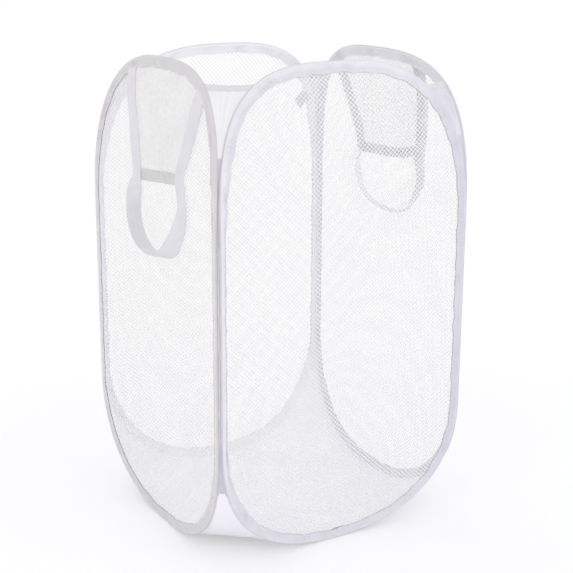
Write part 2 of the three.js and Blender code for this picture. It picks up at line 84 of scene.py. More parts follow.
# Sizes that the frame gives
wire_low, wire_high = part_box("front_wire")
seam_low, seam_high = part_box("front_left_seam")
WIRE_RADIUS = 0.0009
LOOP_HALF_WIDTH = wire_high.x - WIRE_RADIUS
LOOP_TOP = wire_high.z - WIRE_RADIUS
LOOP_BOTTOM = wire_low.z + WIRE_RADIUS
PANEL_OFFSET = -wire_low.y - WIRE_RADIUS
UPPER_SPRING = seam_high.z
LOWER_SPRING = seam_low.z
MIDDLE_HEIGHT = (UPPER_SPRING + LOWER_SPRING) / 2
OVERALL_HEIGHT = cad_high.z
UPPER_ARCH_HEIGHT = OVERALL_HEIGHT - UPPER_SPRING
BASE_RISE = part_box("base_sheet")[1].z

# Shape of the arches, as in the frame
UPPER_POWER = 2.89
LOWER_POWER = 2.3
END_TOP_LEAN = 0.040
END_BOTTOM_LEAN = 0.020
SIDE_TOP_LEAN = 0.0235
SIDE_BOTTOM_LEAN = 0.010
# Share of its lean that the right panel's near shoulder has
SHOULDER_SHARE = 0.25

# Share of its full width that the tape keeps along the straight sides: left-hand end, right-hand end
WIDTH_SHARES = (0.45, 0.45)
FRONT_WIDTH_SHARES = (0.25, 0.75)
BACK_WIDTH_SHARES = (0.15, 0.45)
WIDENING_LENGTH = 0.10

# Stitches, and the short step that finds the ways along and out of a cloth
STITCH_PITCH = 0.0034
STITCH_LENGTH = 0.0025
STITCH_RADIUS = 0.00028
STITCH_LEAN = 0.06
STITCH_DIP = 1.6
STITCH_ROW_WANDER = 0.00012
PROBE = 0.001

SHARP_ANGLE = math.radians(75)
SEED = 7


def waves(rng, places, period, shortest, longest):
    """A smooth line of mean height 0 and spread 1 that repeats after period."""
    turns = np.arange(math.ceil(period / longest), math.floor(period / shortest) + 1)
    phases = rng.uniform(0, math.tau, len(turns))
    heights = rng.normal(size=len(turns))
    heights /= math.sqrt((heights**2).sum() / 2)
    angles = math.tau * np.multiply.outer(places / period, turns) + phases
    return np.sin(angles) @ heights


def smooth_step(x):
    x = np.clip(x, 0, 1)
    return x * x * (3 - 2 * x)


def unit(vectors):
    return vectors / np.maximum(np.linalg.norm(vectors, axis=-1, keepdims=True), 1e-12)


def arch_share(share, power):
    """Half width of an arch at a share of its height, or height at a share of its half width, 0 to 1."""
    return (1 - np.clip(share, 0, 1) ** power) ** (1 / power)


def circle(sides):
    """Turns of even points round a circle."""
    return np.arange(sides) * math.tau / sides


def lengths_along(line):
    """Length of a line up to each of its points."""
    return np.r_[0, np.cumsum(np.linalg.norm(np.diff(line, axis=0), axis=1))]


def at_lengths(line, places):
    """Points of a line at lengths along it."""
    lengths = lengths_along(line)
    return np.column_stack([np.interp(places, lengths, column) for column in line.T])


class Panel:
    """One side of the hamper: its turn about Z and how far its arches lean inwards."""

    def __init__(self, name, turn, top_lean, bottom_lean, width_shares=WIDTH_SHARES, shoulder_share=1.0):
        self.name = name
        self.body = f"{name}_panel"
        self.turn = turn
        self.top_lean = top_lean
        self.bottom_lean = bottom_lean
        self.width_shares = width_shares
        self.shoulder_share = shoulder_share
        self.outwards = Vector((math.sin(turn), -math.cos(turn), 0))
        # 1 where the panel's own axis runs along world Y, -1 where it runs against it
        self.side = 1 if name == "right" else -1

    def spin(self, points):
        c, s = math.cos(self.turn), math.sin(self.turn)
        x, y, z = points.T
        return np.column_stack([x * c - y * s, x * s + y * c, z])

    def place(self, u, z, out):
        """World points from places along the panel, up it and outwards from its surface."""
        u, z, out = np.broadcast_arrays(*(np.asarray(v, float) for v in (u, z, out)))
        up = np.maximum(0, z - UPPER_SPRING) / UPPER_ARCH_HEIGHT
        down = np.maximum(0, LOWER_SPRING - z) / LOWER_SPRING
        near = smooth_step(-u / LOOP_HALF_WIDTH)
        top_lean = self.top_lean * (1 - (1 - self.shoulder_share) * near)
        inward = top_lean * up**2 + self.bottom_lean * down**2
        slope = 2 * top_lean * up / UPPER_ARCH_HEIGHT
        slope = slope - 2 * self.bottom_lean * down / LOWER_SPRING
        length = np.hypot(1, slope)
        y = inward - PANEL_OFFSET - out / length
        flat = np.column_stack([u.ravel(), y.ravel(), (z + out * slope / length).ravel()])
        return self.spin(flat).reshape(*u.shape, 3)


# The panels in their order round the hamper, counter-clockwise from above
PANELS = {
    "front": Panel("front", 0, END_TOP_LEAN, END_BOTTOM_LEAN, FRONT_WIDTH_SHARES),
    "right": Panel("right", math.pi / 2, SIDE_TOP_LEAN, SIDE_BOTTOM_LEAN, WIDTH_SHARES, SHOULDER_SHARE),
    "back": Panel("back", math.pi, END_TOP_LEAN, END_BOTTOM_LEAN, BACK_WIDTH_SHARES),
    "left": Panel("left", -math.pi / 2, SIDE_TOP_LEAN, SIDE_BOTTOM_LEAN),
}
# Each corner's two panels, with the corner at the second one's left-hand end
CORNERS = {
    "front_left": ("left", "front"),
    "front_right": ("front", "right"),
    "back_right": ("right", "back"),
    "back_left": ("back", "left"),
}


# Meshes

def make_piece(name, points, faces, material, weave=None):
    """A smooth-shaded mesh. weave gives each point its place in the cloth, and how shaded it is."""
    points = np.reshape(points, (-1, 3))
    mesh = bpy.data.meshes.new(name)
    mesh.from_pydata(points.tolist(), [], [list(map(int, f)) for f in faces])
    mesh.validate()
    mesh.shade_smooth()
    mesh.set_sharp_from_angle(angle=SHARP_ANGLE)
    mesh.materials.append(material)
    if weave is not None:
        flat = np.zeros((len(points), 3), np.float32)
        flat[:, :weave.shape[1]] = weave
        mesh.attributes.new("weave", "FLOAT_VECTOR", "POINT").data.foreach_set("vector", flat.ravel())
    piece = bpy.data.objects.new(name, mesh)
    bpy.context.scene.collection.objects.link(piece)
    return piece


def soft(piece, panel, node, body=None):
    """A soft piece rides its panel's body, or the body given, in a mesh of its own, and the frame's part
    that it stands for is hidden.
    """
    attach(piece, body or panel.body)
    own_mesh(piece)
    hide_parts(node)
    return piece


def grid_faces(rows, columns, rows_joined=False, columns_joined=False):
    """Four-sided faces over a grid of points, row after row."""
    r = np.arange(rows if rows_joined else rows - 1)[:, None]
    c = np.arange(columns if columns_joined else columns - 1)
    r_next, c_next = (r + 1) % rows, (c + 1) % columns
    corners = [r * columns + c, r * columns + c_next, r_next * columns + c_next, r_next * columns + c]
    return np.stack(np.broadcast_arrays(*corners), -1).reshape(-1, 4)


def tube_faces(rings, sides):
    """A tube over rings of points, closed with a cap at each end."""
    last = (rings - 1) * sides
    caps = [list(range(sides))[::-1], [last + s for s in range(sides)]]
    return grid_faces(rings, sides, columns_joined=True).tolist() + caps


def point_normals(points, faces):
    """Normal at each point of a surface, from the faces round it."""
    normals = np.zeros_like(points)
    for face in faces:
        corners = points[list(face)]
        normals[list(face)] += np.cross(corners[2] - corners[0], corners[-1] - corners[1])
    return unit(normals)


def surface_area(points, faces):
    corners = [points[list(face)] for face in faces]
    return sum(float(np.linalg.norm(np.cross(c[2] - c[0], c[-1] - c[1]))) / 2 for c in corners)


def merged(points, grain):
    """Which points to keep of those that coincide, and which kept one stands for each point."""
    keys = np.round(points / grain).astype(int)
    _, kept, shared = np.unique(keys, axis=0, return_index=True, return_inverse=True)
    return kept, shared.ravel()


def make_cloth(name, points, faces, thickness, material, weave, panel, node):
    """A soft cloth: a closed shell of even thickness over an open surface."""
    points = points.reshape(-1, 3)
    half = point_normals(points, faces) * thickness / 2
    count = len(points)
    edges = dict.fromkeys((int(a), int(b)) for face in faces for a, b in zip(face, [*face[1:], face[0]]))
    walls = [(b, a, count + a, count + b) for a, b in edges if (b, a) not in edges]
    under = [tuple(count + int(i) for i in face[::-1]) for face in faces]
    shell = [tuple(f) for f in faces] + under + walls
    both = np.vstack([points + half, points - half])
    piece = make_piece(name, both, shell, material, np.vstack([weave, weave]))
    return soft(piece, panel, node)


# Materials

TAPE_SHADE = (0.83, 0.82, 0.86)
NET_LIGHT_SHARE = 0.45
SHEET_THREADS = 0.0008
RAMP_ENDS = (0.3, 0.7)
UNEVEN_ROUGHNESS = 0.14
WHITE = (1, 1, 1, 1)


class Nodes:
    """Short ways to add and join the shader nodes of a new material, by its name, or of the world."""

    def __init__(self, owner):
        if isinstance(owner, str):
            owner = bpy.data.materials.new(owner)
        owner.use_nodes = True
        self.owner = owner
        self.tree = owner.node_tree
        self.shader = self.tree.nodes.get("Principled BSDF")

    def feed(self, node, inputs):
        """Give a node's inputs values of their own, or other nodes' outputs."""
        for key, value in inputs.items():
            if isinstance(value, bpy.types.NodeSocket):
                self.tree.links.new(value, node.inputs[key])
            else:
                node.inputs[key].default_value = value

    def add(self, kind, inputs, **settings):
        node = self.tree.nodes.new(kind)
        for key, value in settings.items():
            setattr(node, key, value)
        self.feed(node, inputs)
        return node

    def position(self):
        return self.add("ShaderNodeTexCoord", {}).outputs["Object"]

    def math(self, operation, *values):
        return self.add("ShaderNodeMath", dict(enumerate(values)), operation=operation).outputs[0]

    def weave(self, *periods):
        """Crossed threads from the place in the cloth, and how shaded that place is."""
        place = self.add("ShaderNodeAttribute", {}, attribute_name="weave").outputs["Vector"]
        split = self.add("ShaderNodeSeparateXYZ", {0: place}).outputs
        turned = [self.math("MULTIPLY", split[k], math.tau / period) for k, period in enumerate(periods)]
        return self.math("MULTIPLY", *(self.math("SINE", t) for t in turned)), split["Z"]

    def noise(self, size, detail=3.0, roughness=0.5):
        inputs = {"Scale": 1 / size, "Detail": detail, "Roughness": roughness, "Vector": self.position()}
        return self.add("ShaderNodeTexNoise", inputs).outputs["Fac"]

    def ramp(self, value, low, high):
        node = self.add("ShaderNodeValToRGB", {"Fac": value})
        first, last = node.color_ramp.elements
        first.position, last.position = RAMP_ENDS
        first.color, last.color = (*low, 1), (*high, 1)
        return node.outputs["Color"]

    def darkened(self, colour, share):
        node = self.add("ShaderNodeMix", {}, data_type="RGBA", blend_type="MULTIPLY")
        used = [k for k, socket in enumerate(node.inputs) if socket.enabled]
        self.feed(node, dict(zip(used, (share, colour, (*TAPE_SHADE, 1)))))
        return next(s for s in node.outputs if s.enabled)

    def bump(self, height, distance, strength, under=None):
        inputs = {"Distance": distance, "Strength": strength, "Height": height}
        if under is not None:
            inputs["Normal"] = under
        return self.add("ShaderNodeBump", inputs).outputs["Normal"]

    def seen_share(self):
        """1 for what the camera sees, also mirrored or through a piece, and 0 for light on pieces."""
        path = self.add("ShaderNodeLightPath", {}).outputs
        mirrored = self.math("MAXIMUM", path["Is Camera Ray"], path["Is Glossy Ray"])
        return self.math("MAXIMUM", mirrored, path["Is Transmission Ray"])

    def mixed(self, share, first, second):
        inputs = {0: share, 1: first.outputs[0], 2: second.outputs[0]}
        return self.add("ShaderNodeMixShader", inputs).outputs[0]

    def show(self, surface):
        self.feed(self.tree.nodes["Material Output"], {"Surface": surface})


def linear(r, g, b):
    """A colour written as 0 to 255, as linear light."""
    def one(v):
        v /= 255
        return v / 12.92 if v <= 0.04045 else ((v + 0.055) / 1.055) ** 2.4
    return one(r), one(g), one(b)


def finish_cloth(nodes, colours, normal, roughness, sheen, patch, shade=None):
    """Colour, roughness and sheen that a cloth shares: two near colours in soft patches."""
    patches = nodes.noise(patch)
    colour = nodes.ramp(patches, *(linear(*c) for c in colours))
    if shade is not None:
        colour = nodes.darkened(colour, shade)
    uneven = nodes.math("MULTIPLY", patches, UNEVEN_ROUGHNESS)
    nodes.feed(nodes.shader, {
        "Base Color": colour,
        "Roughness": nodes.math("ADD", uneven, roughness - UNEVEN_ROUGHNESS / 2),
        "Normal": normal,
        "Sheen Weight": sheen,
        "Sheen Roughness": 0.5,
        "Specular IOR Level": 0.3,
    })
    return nodes.owner


def tape_material(name, colours, rib=0.0007, pick=0.0005):
    """Woven tape: fine ribs along it, crossed by the weft."""
    nodes = Nodes(name)
    woven, shade = nodes.weave(2 * pick, 2 * rib)
    fuzz = nodes.bump(nodes.noise(size=0.0012, detail=4), distance=0.00025, strength=0.6)
    normal = nodes.bump(woven, distance=0.00010, strength=0.8, under=fuzz)
    return finish_cloth(nodes, colours, normal, roughness=0.72, sheen=0.15, patch=0.03, shade=shade)


def net_material(name, colours):
    """Knitted net: small loops of thin yarn along each thread, which let some light through."""
    nodes = Nodes(name)
    loops = nodes.noise(size=0.0006, detail=3, roughness=0.6)
    normal = nodes.bump(loops, distance=0.0003, strength=0.4)
    material = finish_cloth(nodes, colours, normal, roughness=0.62, sheen=0.1, patch=0.04)
    colour = nodes.shader.inputs["Base Color"].links[0].from_socket
    glow = nodes.add("ShaderNodeBsdfTranslucent", {"Color": colour, "Normal": normal})
    nodes.show(nodes.mixed(NET_LIGHT_SHARE, nodes.shader, glow))
    return material


def sheet_material(name, colours):
    """Thin plain-woven cloth with a slight lustre."""
    nodes = Nodes(name)
    woven, _ = nodes.weave(SHEET_THREADS, SHEET_THREADS)
    crumple = nodes.noise(size=0.02, detail=5, roughness=0.55)
    creased = nodes.bump(crumple, distance=0.0015, strength=0.5)
    normal = nodes.bump(woven, distance=0.00006, strength=0.6, under=creased)
    return finish_cloth(nodes, colours, normal, roughness=0.5, sheen=0.1, patch=0.06)


def thread_material(name, colours):
    """Sewing thread: two twisted plies."""
    nodes = Nodes(name)
    normal = nodes.bump(nodes.noise(size=0.0004, detail=2), distance=0.0001, strength=0.6)
    return finish_cloth(nodes, colours, normal, roughness=0.5, sheen=0.1, patch=0.02)


def steel_material(name, colour, roughness):
    """Drawn metal with faint scratches and a little dulling."""
    nodes = Nodes(name)
    scratches = nodes.noise(size=0.0004, detail=5)
    dull = nodes.math("MULTIPLY", nodes.noise(size=0.008), 0.25)
    nodes.feed(nodes.shader, {
        "Normal": nodes.bump(scratches, distance=0.00004, strength=0.5),
        "Roughness": nodes.math("ADD", dull, roughness - 0.1),
        "Base Color": nodes.ramp(scratches, linear(*(0.9 * c for c in colour)), linear(*colour)),
        "Metallic": 1.0,
    })
    return nodes.owner


TAPE = tape_material("tape_cloth", ((223, 222, 227), (230, 229, 233)))
# The left panel's tape is a darker, warmer copy of the tape: painted shade on the side away from the
# light
SHADED_LEFT_TAPE = tape_material("left_tape_cloth", ((223, 221, 221), (230, 228, 227)))
# The back panel's tape is a lighter copy of the tape: painted light on its inner face
LIT_BACK_TAPE = tape_material("back_tape_cloth", ((238, 237, 240), (244, 243, 245)))
PANEL_TAPES = {"front": TAPE, "right": TAPE, "back": LIT_BACK_TAPE, "left": SHADED_LEFT_TAPE}
# The near corners' seam tape and rolled seam are darker than the far corners': painted shade in the
# crease between the bindings
SHADED_SEAM_TAPE = tape_material("seam_tape", ((204, 203, 210), (213, 212, 218)))
FAR_SEAM_TAPE = tape_material("far_seam_tape", ((232, 231, 236), (239, 238, 242)))
CORNER_TAPES = dict(zip(CORNERS, (SHADED_SEAM_TAPE, SHADED_SEAM_TAPE, FAR_SEAM_TAPE, FAR_SEAM_TAPE)))
HEM_TAPE = tape_material("hem_tape", ((216, 215, 219), (223, 222, 226)))
# A darker copy of the hem tape for the left handle: painted shade on the side away from the light
SHADED_LEFT_HEM_TAPE = tape_material("left_hem_tape", ((208, 206, 208), (215, 213, 215)))
WEBBING = tape_material("strap_webbing", ((220, 219, 223), (227, 226, 229)), rib=0.0009, pick=0.0006)
NET = net_material("net_yarn", ((239, 239, 240), (244, 244, 244)))
# A darker copy of the net yarn for the handles' flaps: painted shade of the gathered net lying over the
# panel's net
SHADED_FLAP_NET = net_material("flap_yarn", ((235, 234, 234), (242, 241, 241)))
BASE_CLOTH = sheet_material("base_cloth", ((239, 239, 243), (245, 245, 248)))
GUSSET_CLOTH = sheet_material("gusset_cloth", ((230, 230, 232), (238, 238, 239)))
# A darker, bluer copy of the gusset cloth for the front right corner: painted shade where it turns away
# from the light
SHADED_GUSSET_CLOTH = sheet_material("turned_gusset_cloth", ((214, 213, 221), (222, 221, 228)))
LABEL = sheet_material("label_cloth", ((216, 214, 222), (225, 223, 230)))
THREAD = thread_material("sewing_thread", ((226, 226, 234), (236, 236, 242)))
STEEL = steel_material("spring_steel", (150, 152, 156), 0.35)
CRIMP = steel_material("crimp_metal", (190, 192, 196), 0.3)


# Loops

def arch_line(spring, height, power, count=3000):
    """Centre line of an arch, from its right-hand spring to its left-hand one."""
    turn = np.linspace(0, math.pi, count)
    across, up = np.cos(turn), np.abs(np.sin(turn))
    u = LOOP_HALF_WIDTH * np.sign(across) * np.abs(across) ** (2 / power)
    return np.column_stack([u, spring + height * up ** (2 / power)])


class Loop:
    """Even stations round a loop from the middle of its lower arch: place, inward way, length."""

    def __init__(self, step):
        upper = arch_line(UPPER_SPRING, LOOP_TOP - UPPER_SPRING, UPPER_POWER)
        lower = arch_line(LOWER_SPRING, LOOP_BOTTOM - LOWER_SPRING, LOWER_POWER)
        half = len(lower) // 2
        line = np.vstack([lower[:half][::-1], upper, lower[half:][::-1], lower[half - 1:half]])
        self.length = lengths_along(line)[-1]
        self.count = round(self.length / step)
        self.along = np.arange(self.count) * self.length / self.count
        self.at = at_lengths(line, self.along)
        tangent = unit(np.roll(self.at, -1, 0) - np.roll(self.at, 1, 0))
        self.inward = np.column_stack([-tangent[:, 1], tangent[:, 0]])
        beyond = np.maximum(self.at[:, 1] - UPPER_SPRING, LOWER_SPRING - self.at[:, 1])
        self.widened = smooth_step(beyond / WIDENING_LENGTH)

    def width_share(self, panel):
        """How much of its full width a binding has at each station: less along the straight sides."""
        side = np.where(self.at[:, 0] < 0, *panel.width_shares)
        return side + (1 - side) * self.widened

    def shape(self, panel, inward, out):
        """World points for tables of inward and out distances, one row a station."""
        u = self.at[:, :1] + self.inward[:, :1] * inward
        z = self.at[:, 1:] + self.inward[:, 1:] * inward
        return panel.place(u, z, out)


LOOP = Loop(step=0.002)

# Section of the binding tape
TAPE_REACH = 0.0116
TAPE_BULGE = 0.0023
TAPE_FLAT = 0.0010
TAPE_BULGE_SPREAD = 0.0030
TAPE_CHANNEL = 0.00165
TAPE_SLOT = 0.00035
TAPE_THROAT = 0.0024
STITCH_LINE = 0.0098
STITCH_PINCH = 0.0003
STITCH_PINCH_WIDTH = 0.0009
TAPE_PLACES = [0.0012, 0.0026, 0.0040, 0.0055, 0.0070, 0.0083, 0.0091, STITCH_LINE, 0.0106, TAPE_REACH]

# Where the tape's ends lap, and where it starts to narrow along the sides
TAPE_END_HALF = 0.009
TAPE_END_STEP = 0.0006
TAPE_END_FADE = 0.002
TAPE_FOLD = 0.0026

# Puckers between the wire and the stitches, slower swells, and the wandering edge
PUCKER_HEIGHT = 0.00042
PUCKER_LENGTHS = (0.006, 0.011)
PUCKER_SLANT = 0.9
PUCKER_RISE = 0.003
PUCKER_FALL = 0.004
PUCKER_PAST_STITCHES = 0.002
SWELL_HEIGHT = 0.0002
SWELL_LENGTHS = (0.03, 0.12)
EDGE_WANDER = 0.0005
EDGE_LENGTHS = (0.02, 0.09)

# How shaded the tape is, 0 to 1
INNER_SHADE = 0.4
INNER_SHADE_FROM, INNER_SHADE_FADE = 0.0040, 0.0020
RIM_SHADE_FROM, RIM_SHADE_FADE = 0.0008, 0.0012
FRONT_SIDE_SHADE = 0.85
FRONT_FOOT_SHADE = 0.4
LEFT_TOP_SHADE = 0.6
LEFT_FOOT_SHADE = 0.5
# The side of a panel that meets the far left corner, where the tape's rim stays light
FAR_LEFT_SIDES = {"left": -1, "back": 1}


def tape_half_thickness(inward):
    """Half of a folded tape's thickness: a bulge at the wire, then two flat plies."""
    bulge = np.exp(-((np.maximum(inward, 0) / TAPE_BULGE_SPREAD) ** 2))
    pinch = STITCH_PINCH * np.exp(-(((inward - STITCH_LINE) / STITCH_PINCH_WIDTH) ** 2))
    return TAPE_FLAT + (TAPE_BULGE - TAPE_FLAT) * bulge - pinch


def arc(radius, first, last, count, share):
    return [(radius * math.cos(t), radius * math.sin(t), share) for t in np.linspace(first, last, count)]


def binding_section():
    """Section of a binding as (inward, out, share of the surface's waves)."""
    ply = [(w, float(tape_half_thickness(w)), 1) for w in TAPE_PLACES]
    rows = ply[::-1] + arc(TAPE_BULGE, math.pi / 2, 3 * math.pi / 2, 9, 0.3)
    rows += [(w, -half, -1) for w, half, _ in ply]
    rows += [(TAPE_REACH, -TAPE_SLOT, -1), (TAPE_THROAT, -TAPE_SLOT, 0)]
    rows += arc(TAPE_CHANNEL, -math.pi / 3, -5 * math.pi / 3, 7, 0)
    rows += [(TAPE_THROAT, TAPE_SLOT, 0), (TAPE_REACH, TAPE_SLOT, 1)]
    return np.array(rows)


def tape_lap():
    """1 where the tape's two ends lap, at the middle of the lower arch, and 0 elsewhere."""
    past = TAPE_END_HALF - np.abs((LOOP.along + TAPE_END_HALF / 2) % LOOP.length)
    before = LOOP.along - LOOP.length + TAPE_END_HALF
    return smooth_step(np.maximum(past, before) / TAPE_END_FADE)[:, None]


def binding_shade(panel, inward, out, side, arched):
    """How shaded a binding is: on its inner ply, at its rim, and where it turns from the light."""
    across, height = LOOP.at[:, :1], LOOP.at[:, 1:]
    shade = INNER_SHADE * smooth_step((inward - INNER_SHADE_FROM) / INNER_SHADE_FADE) * (side > 0)
    rim = smooth_step((-inward - RIM_SHADE_FROM) / RIM_SHADE_FADE)
    if panel.name in FAR_LEFT_SIDES:
        rim = rim * np.where(across * FAR_LEFT_SIDES[panel.name] > 0, arched, 1)
    shade = shade + rim
    top = smooth_step((height - UPPER_SPRING) / UPPER_ARCH_HEIGHT * 2)
    foot = smooth_step((LOWER_SPRING - height) / LOWER_SPRING * 2)
    if panel.name == "front":
        turned = FRONT_SIDE_SHADE * smooth_step(across / LOOP_HALF_WIDTH * 2 - 1)
        shade = np.maximum(shade, np.maximum(turned, FRONT_FOOT_SHADE * foot) * (out > 0))
    if panel.name == "left":
        shade = shade * np.where(inward > 0, arched, 1)
        shade = np.maximum(shade, np.maximum(LEFT_TOP_SHADE * top, LEFT_FOOT_SHADE * foot) * (out > 0))
    return shade


def make_binding(panel, rng):
    section = binding_section()
    inward, out, side = section.T
    outer = np.abs(side) > 0
    slanted = LOOP.along[:, None] + PUCKER_SLANT * inward
    puckers = waves(rng, slanted, LOOP.length, *PUCKER_LENGTHS)
    swell = waves(rng, LOOP.along, LOOP.length, *SWELL_LENGTHS)[:, None]
    edge = waves(rng, LOOP.along, LOOP.length, *EDGE_LENGTHS)[:, None]
    arched = smooth_step(np.abs(LOOP.at[:, 1:] - MIDDLE_HEIGHT) / UPPER_ARCH_HEIGHT)
    reach = np.clip(inward / TAPE_REACH, 0, 1)
    fall = np.clip((STITCH_LINE + PUCKER_PAST_STITCHES - inward) / PUCKER_FALL, 0.25, 1)
    belly = np.clip(inward / PUCKER_RISE, 0, 1) * fall
    height = PUCKER_HEIGHT * (0.45 + 0.55 * arched) * (1 + 0.35 * swell)
    thicker = TAPE_END_STEP * tape_lap() * np.sign(out) * outer * np.clip(inward / TAPE_END_FADE, 0.4, 1)
    beyond_fold = np.maximum(inward - TAPE_FOLD, 0) * LOOP.width_share(panel)[:, None]
    points = LOOP.shape(
        panel,
        np.minimum(inward, TAPE_FOLD) + beyond_fold + edge * EDGE_WANDER * reach,
        out + puckers * height * belly * outer + thicker + swell * SWELL_HEIGHT * reach,
    )
    rows, columns = points.shape[:2]
    shade = binding_shade(panel, inward, out, side, arched)
    weave = np.column_stack([
        np.repeat(LOOP.along, columns),
        np.tile(lengths_along(section[:, :2]), rows),
        np.broadcast_to(shade, (rows, columns)).ravel(),
    ])
    faces = grid_faces(rows, columns, True, True)
    piece = make_piece(f"{panel.name}_binding_tape", points, faces, PANEL_TAPES[panel.name], weave)
    soft(piece, panel, f"{panel.name}_binding")


def make_stitches(name, centres, alongs, normals, rng):
    """Rows of stitches: each a short thread that dips into the cloth at both ends."""
    sides, rings = 6, 5
    across = np.cross(normals, alongs)
    lean = rng.normal(0, STITCH_LEAN, len(centres))[:, None]
    alongs = unit(alongs + across * lean)
    across = np.cross(normals, alongs)
    points = []
    for s in np.linspace(-1, 1, rings):
        radius = STITCH_RADIUS * math.sqrt(1 - 0.8 * s * s)
        middle = centres + alongs * s * STITCH_LENGTH / 2 - normals * STITCH_RADIUS * STITCH_DIP * s * s
        ring = [across * math.cos(t) + normals * 0.8 * math.sin(t) for t in circle(sides)]
        points.append(np.stack([middle + radius * way for way in ring], 1))
    template = tube_faces(rings, sides)
    faces = [[i * sides * rings + v for v in face] for i in range(len(centres)) for face in template]
    return make_piece(name, np.stack(points, 1), faces, THREAD)


def stitch_line(panel, u, z, way_u, way_z, out, side=1):
    """Centres, ways along and normals of a line of stitches on a panel's cloth."""
    here = panel.place(u, z, side * out)
    ahead = panel.place(u + way_u * PROBE, z + way_z * PROBE, side * out)
    above = panel.place(u, z, side * (out + PROBE))
    return np.stack([here, unit(ahead - here), unit(above - here)])


def make_binding_stitches(panel, rng):
    count = round(LOOP.length / STITCH_PITCH)
    along = np.arange(count) * LOOP.length / count
    picked = np.round(along / LOOP.length * LOOP.count).astype(int) % LOOP.count
    inward = LOOP.inward[picked]
    out = float(tape_half_thickness(STITCH_LINE)) + STITCH_RADIUS * 0.6
    line = STITCH_LINE + rng.normal(0, STITCH_ROW_WANDER, count)
    drawn = TAPE_FOLD + (line - TAPE_FOLD) * LOOP.width_share(panel)[picked]
    u, z = (LOOP.at[picked] + inward * drawn[:, None]).T
    lines = [stitch_line(panel, u, z, inward[:, 1], -inward[:, 0], out, side) for side in (1, -1)]
    piece = make_stitches(f"{panel.name}_binding_stitches", *np.hstack(lines), rng)
    soft(piece, panel, f"{panel.name}_binding")


def make_wire(panel):
    """Spring wire round the loop, with its ends facing each other in the ferrule."""
    sides, gap = 8, 0.001
    inside = (LOOP.along > gap) & (LOOP.along < LOOP.length - gap)
    turns = circle(sides)
    inward = np.broadcast_to(WIRE_RADIUS * np.cos(turns), (LOOP.count, sides))
    points = LOOP.shape(panel, inward, WIRE_RADIUS * np.sin(turns))[inside]
    piece = make_piece(f"{panel.name}_spring_wire", points, tube_faces(len(points), sides), STEEL)
    soft(piece, panel, f"{panel.name}_wire")


def make_crimp(panel):
    """Crimped tube over the wire's ends, with two pressed dents."""
    sides, half = 16, 0.008
    outside, bore, bevel = 0.0016, 0.0010, 0.0003
    dent_place, dent_half, dent_depth = 0.004, 0.0014, 0.00035
    dent = [(dent_place - dent_half, outside), (dent_place, outside - dent_depth)]
    dent += [(dent_place + dent_half, outside)]
    end = dent + [(half - bevel, outside), (half, outside - bevel), (half, bore)]
    profile = [(-u, radius) for u, radius in end[::-1]] + end
    u, radius = np.repeat(profile, sides, 0).T
    turn = np.tile(circle(sides), len(profile))
    points = panel.place(u, LOOP_BOTTOM + radius * np.cos(turn), radius * np.sin(turn))
    faces = grid_faces(len(profile), sides, True, True)
    piece = make_piece(f"{panel.name}_crimped_tube", points, faces, CRIMP)
    soft(piece, panel, f"{panel.name}_ferrule")


# Nets

CELL_HALF_WIDTH = 0.0030
CELL_HALF_HEIGHT = 0.00275
HOLE_HALF_WIDTH = 0.00205
HOLE_HALF_HEIGHT = 0.00175
HOLE_TOP_HALF_WIDTH = 0.0008
CELL_GRAIN = 1e-5
THREAD_RISE = 0.00016
NET_TUCK = 0.0052
NET_WANDER = 0.00030
NET_SAG = 0.0016
# Period, shortest and longest length of the waves of a net's yarns and of its billows
NET_WAVES = (0.6, 0.04, 0.2)
BILLOWS_ACROSS = (0.7, 0.07, 0.35)
BILLOWS_UP = (0.9, 0.1, 0.45)


def inside_loop(u, z, inset):
    """Below 1 within the loop's outline, drawn in by inset."""
    across = np.abs(u) / (LOOP_HALF_WIDTH - inset)
    up = np.maximum(0, z - UPPER_SPRING) / (LOOP_TOP - UPPER_SPRING - inset)
    down = np.maximum(0, LOWER_SPRING - z) / (LOWER_SPRING - LOOP_BOTTOM - inset)
    above = across**UPPER_POWER + up**UPPER_POWER
    below = across**LOWER_POWER + down**LOWER_POWER
    return np.where(z > UPPER_SPRING, above, np.where(z < LOWER_SPRING, below, across**UPPER_POWER))


def hexagon(side, neck, height):
    upper = [(side, 0), (neck, height), (-neck, height)]
    return np.array(upper + [(-x, -y) for x, y in upper])


def net_cells(low, high, middle, keep, size=1.0, hole_share=1.0):
    """Staggered cells of a knitted net: points in the panel's plane, faces, and the threads' crests."""
    width, height = CELL_HALF_WIDTH * size, CELL_HALF_HEIGHT * size
    steps = [
        np.arange(math.floor((a - m) / s), math.ceil((b - m) / s))
        for a, b, m, s in zip(low, high, middle, (width, height))
    ]
    c, r = (v.ravel() for v in np.meshgrid(*steps))
    staggered = (c + r) % 2 == 0
    centres = np.column_stack([c * width, r * height])[staggered] + middle
    centres = centres[keep(*centres.T)]
    reach = (width**2 + height**2) / 2
    cell = hexagon(reach / width, (reach - height**2) / width, height)
    hole = hexagon(HOLE_HALF_WIDTH, HOLE_TOP_HALF_WIDTH, HOLE_HALF_HEIGHT)
    borders = (centres[:, None] + cell).reshape(-1, 2)
    holes = (centres[:, None] + hole * size * hole_share).reshape(-1, 2)
    kept, shared = merged(borders, CELL_GRAIN)
    shared = shared.reshape(-1, 6)
    own = len(kept) + np.arange(len(holes)).reshape(-1, 6)
    faces = np.stack([shared, np.roll(shared, -1, 1), np.roll(own, -1, 1), own], -1).reshape(-1, 4)
    crest = np.r_[np.ones(len(kept)), np.zeros(len(holes))]
    return np.vstack([borders[kept], holes]), faces, crest


def net_area(face_points):
    """Area of the net's threads laid flat."""
    a, b, c, d = np.moveaxis(face_points, 1, 0)
    return float(np.abs(np.cross(c - a, d - b)).sum() / 2)


def wandered(points, rng):
    """Points moved a little, as the yarns of a net wander."""
    u, z = points.T
    shift_u = waves(rng, z + 0.3 * u, *NET_WAVES)
    shift_z = waves(rng, u - 0.2 * z, *NET_WAVES)
    return (points + NET_WANDER * np.column_stack([shift_u, shift_z])).T


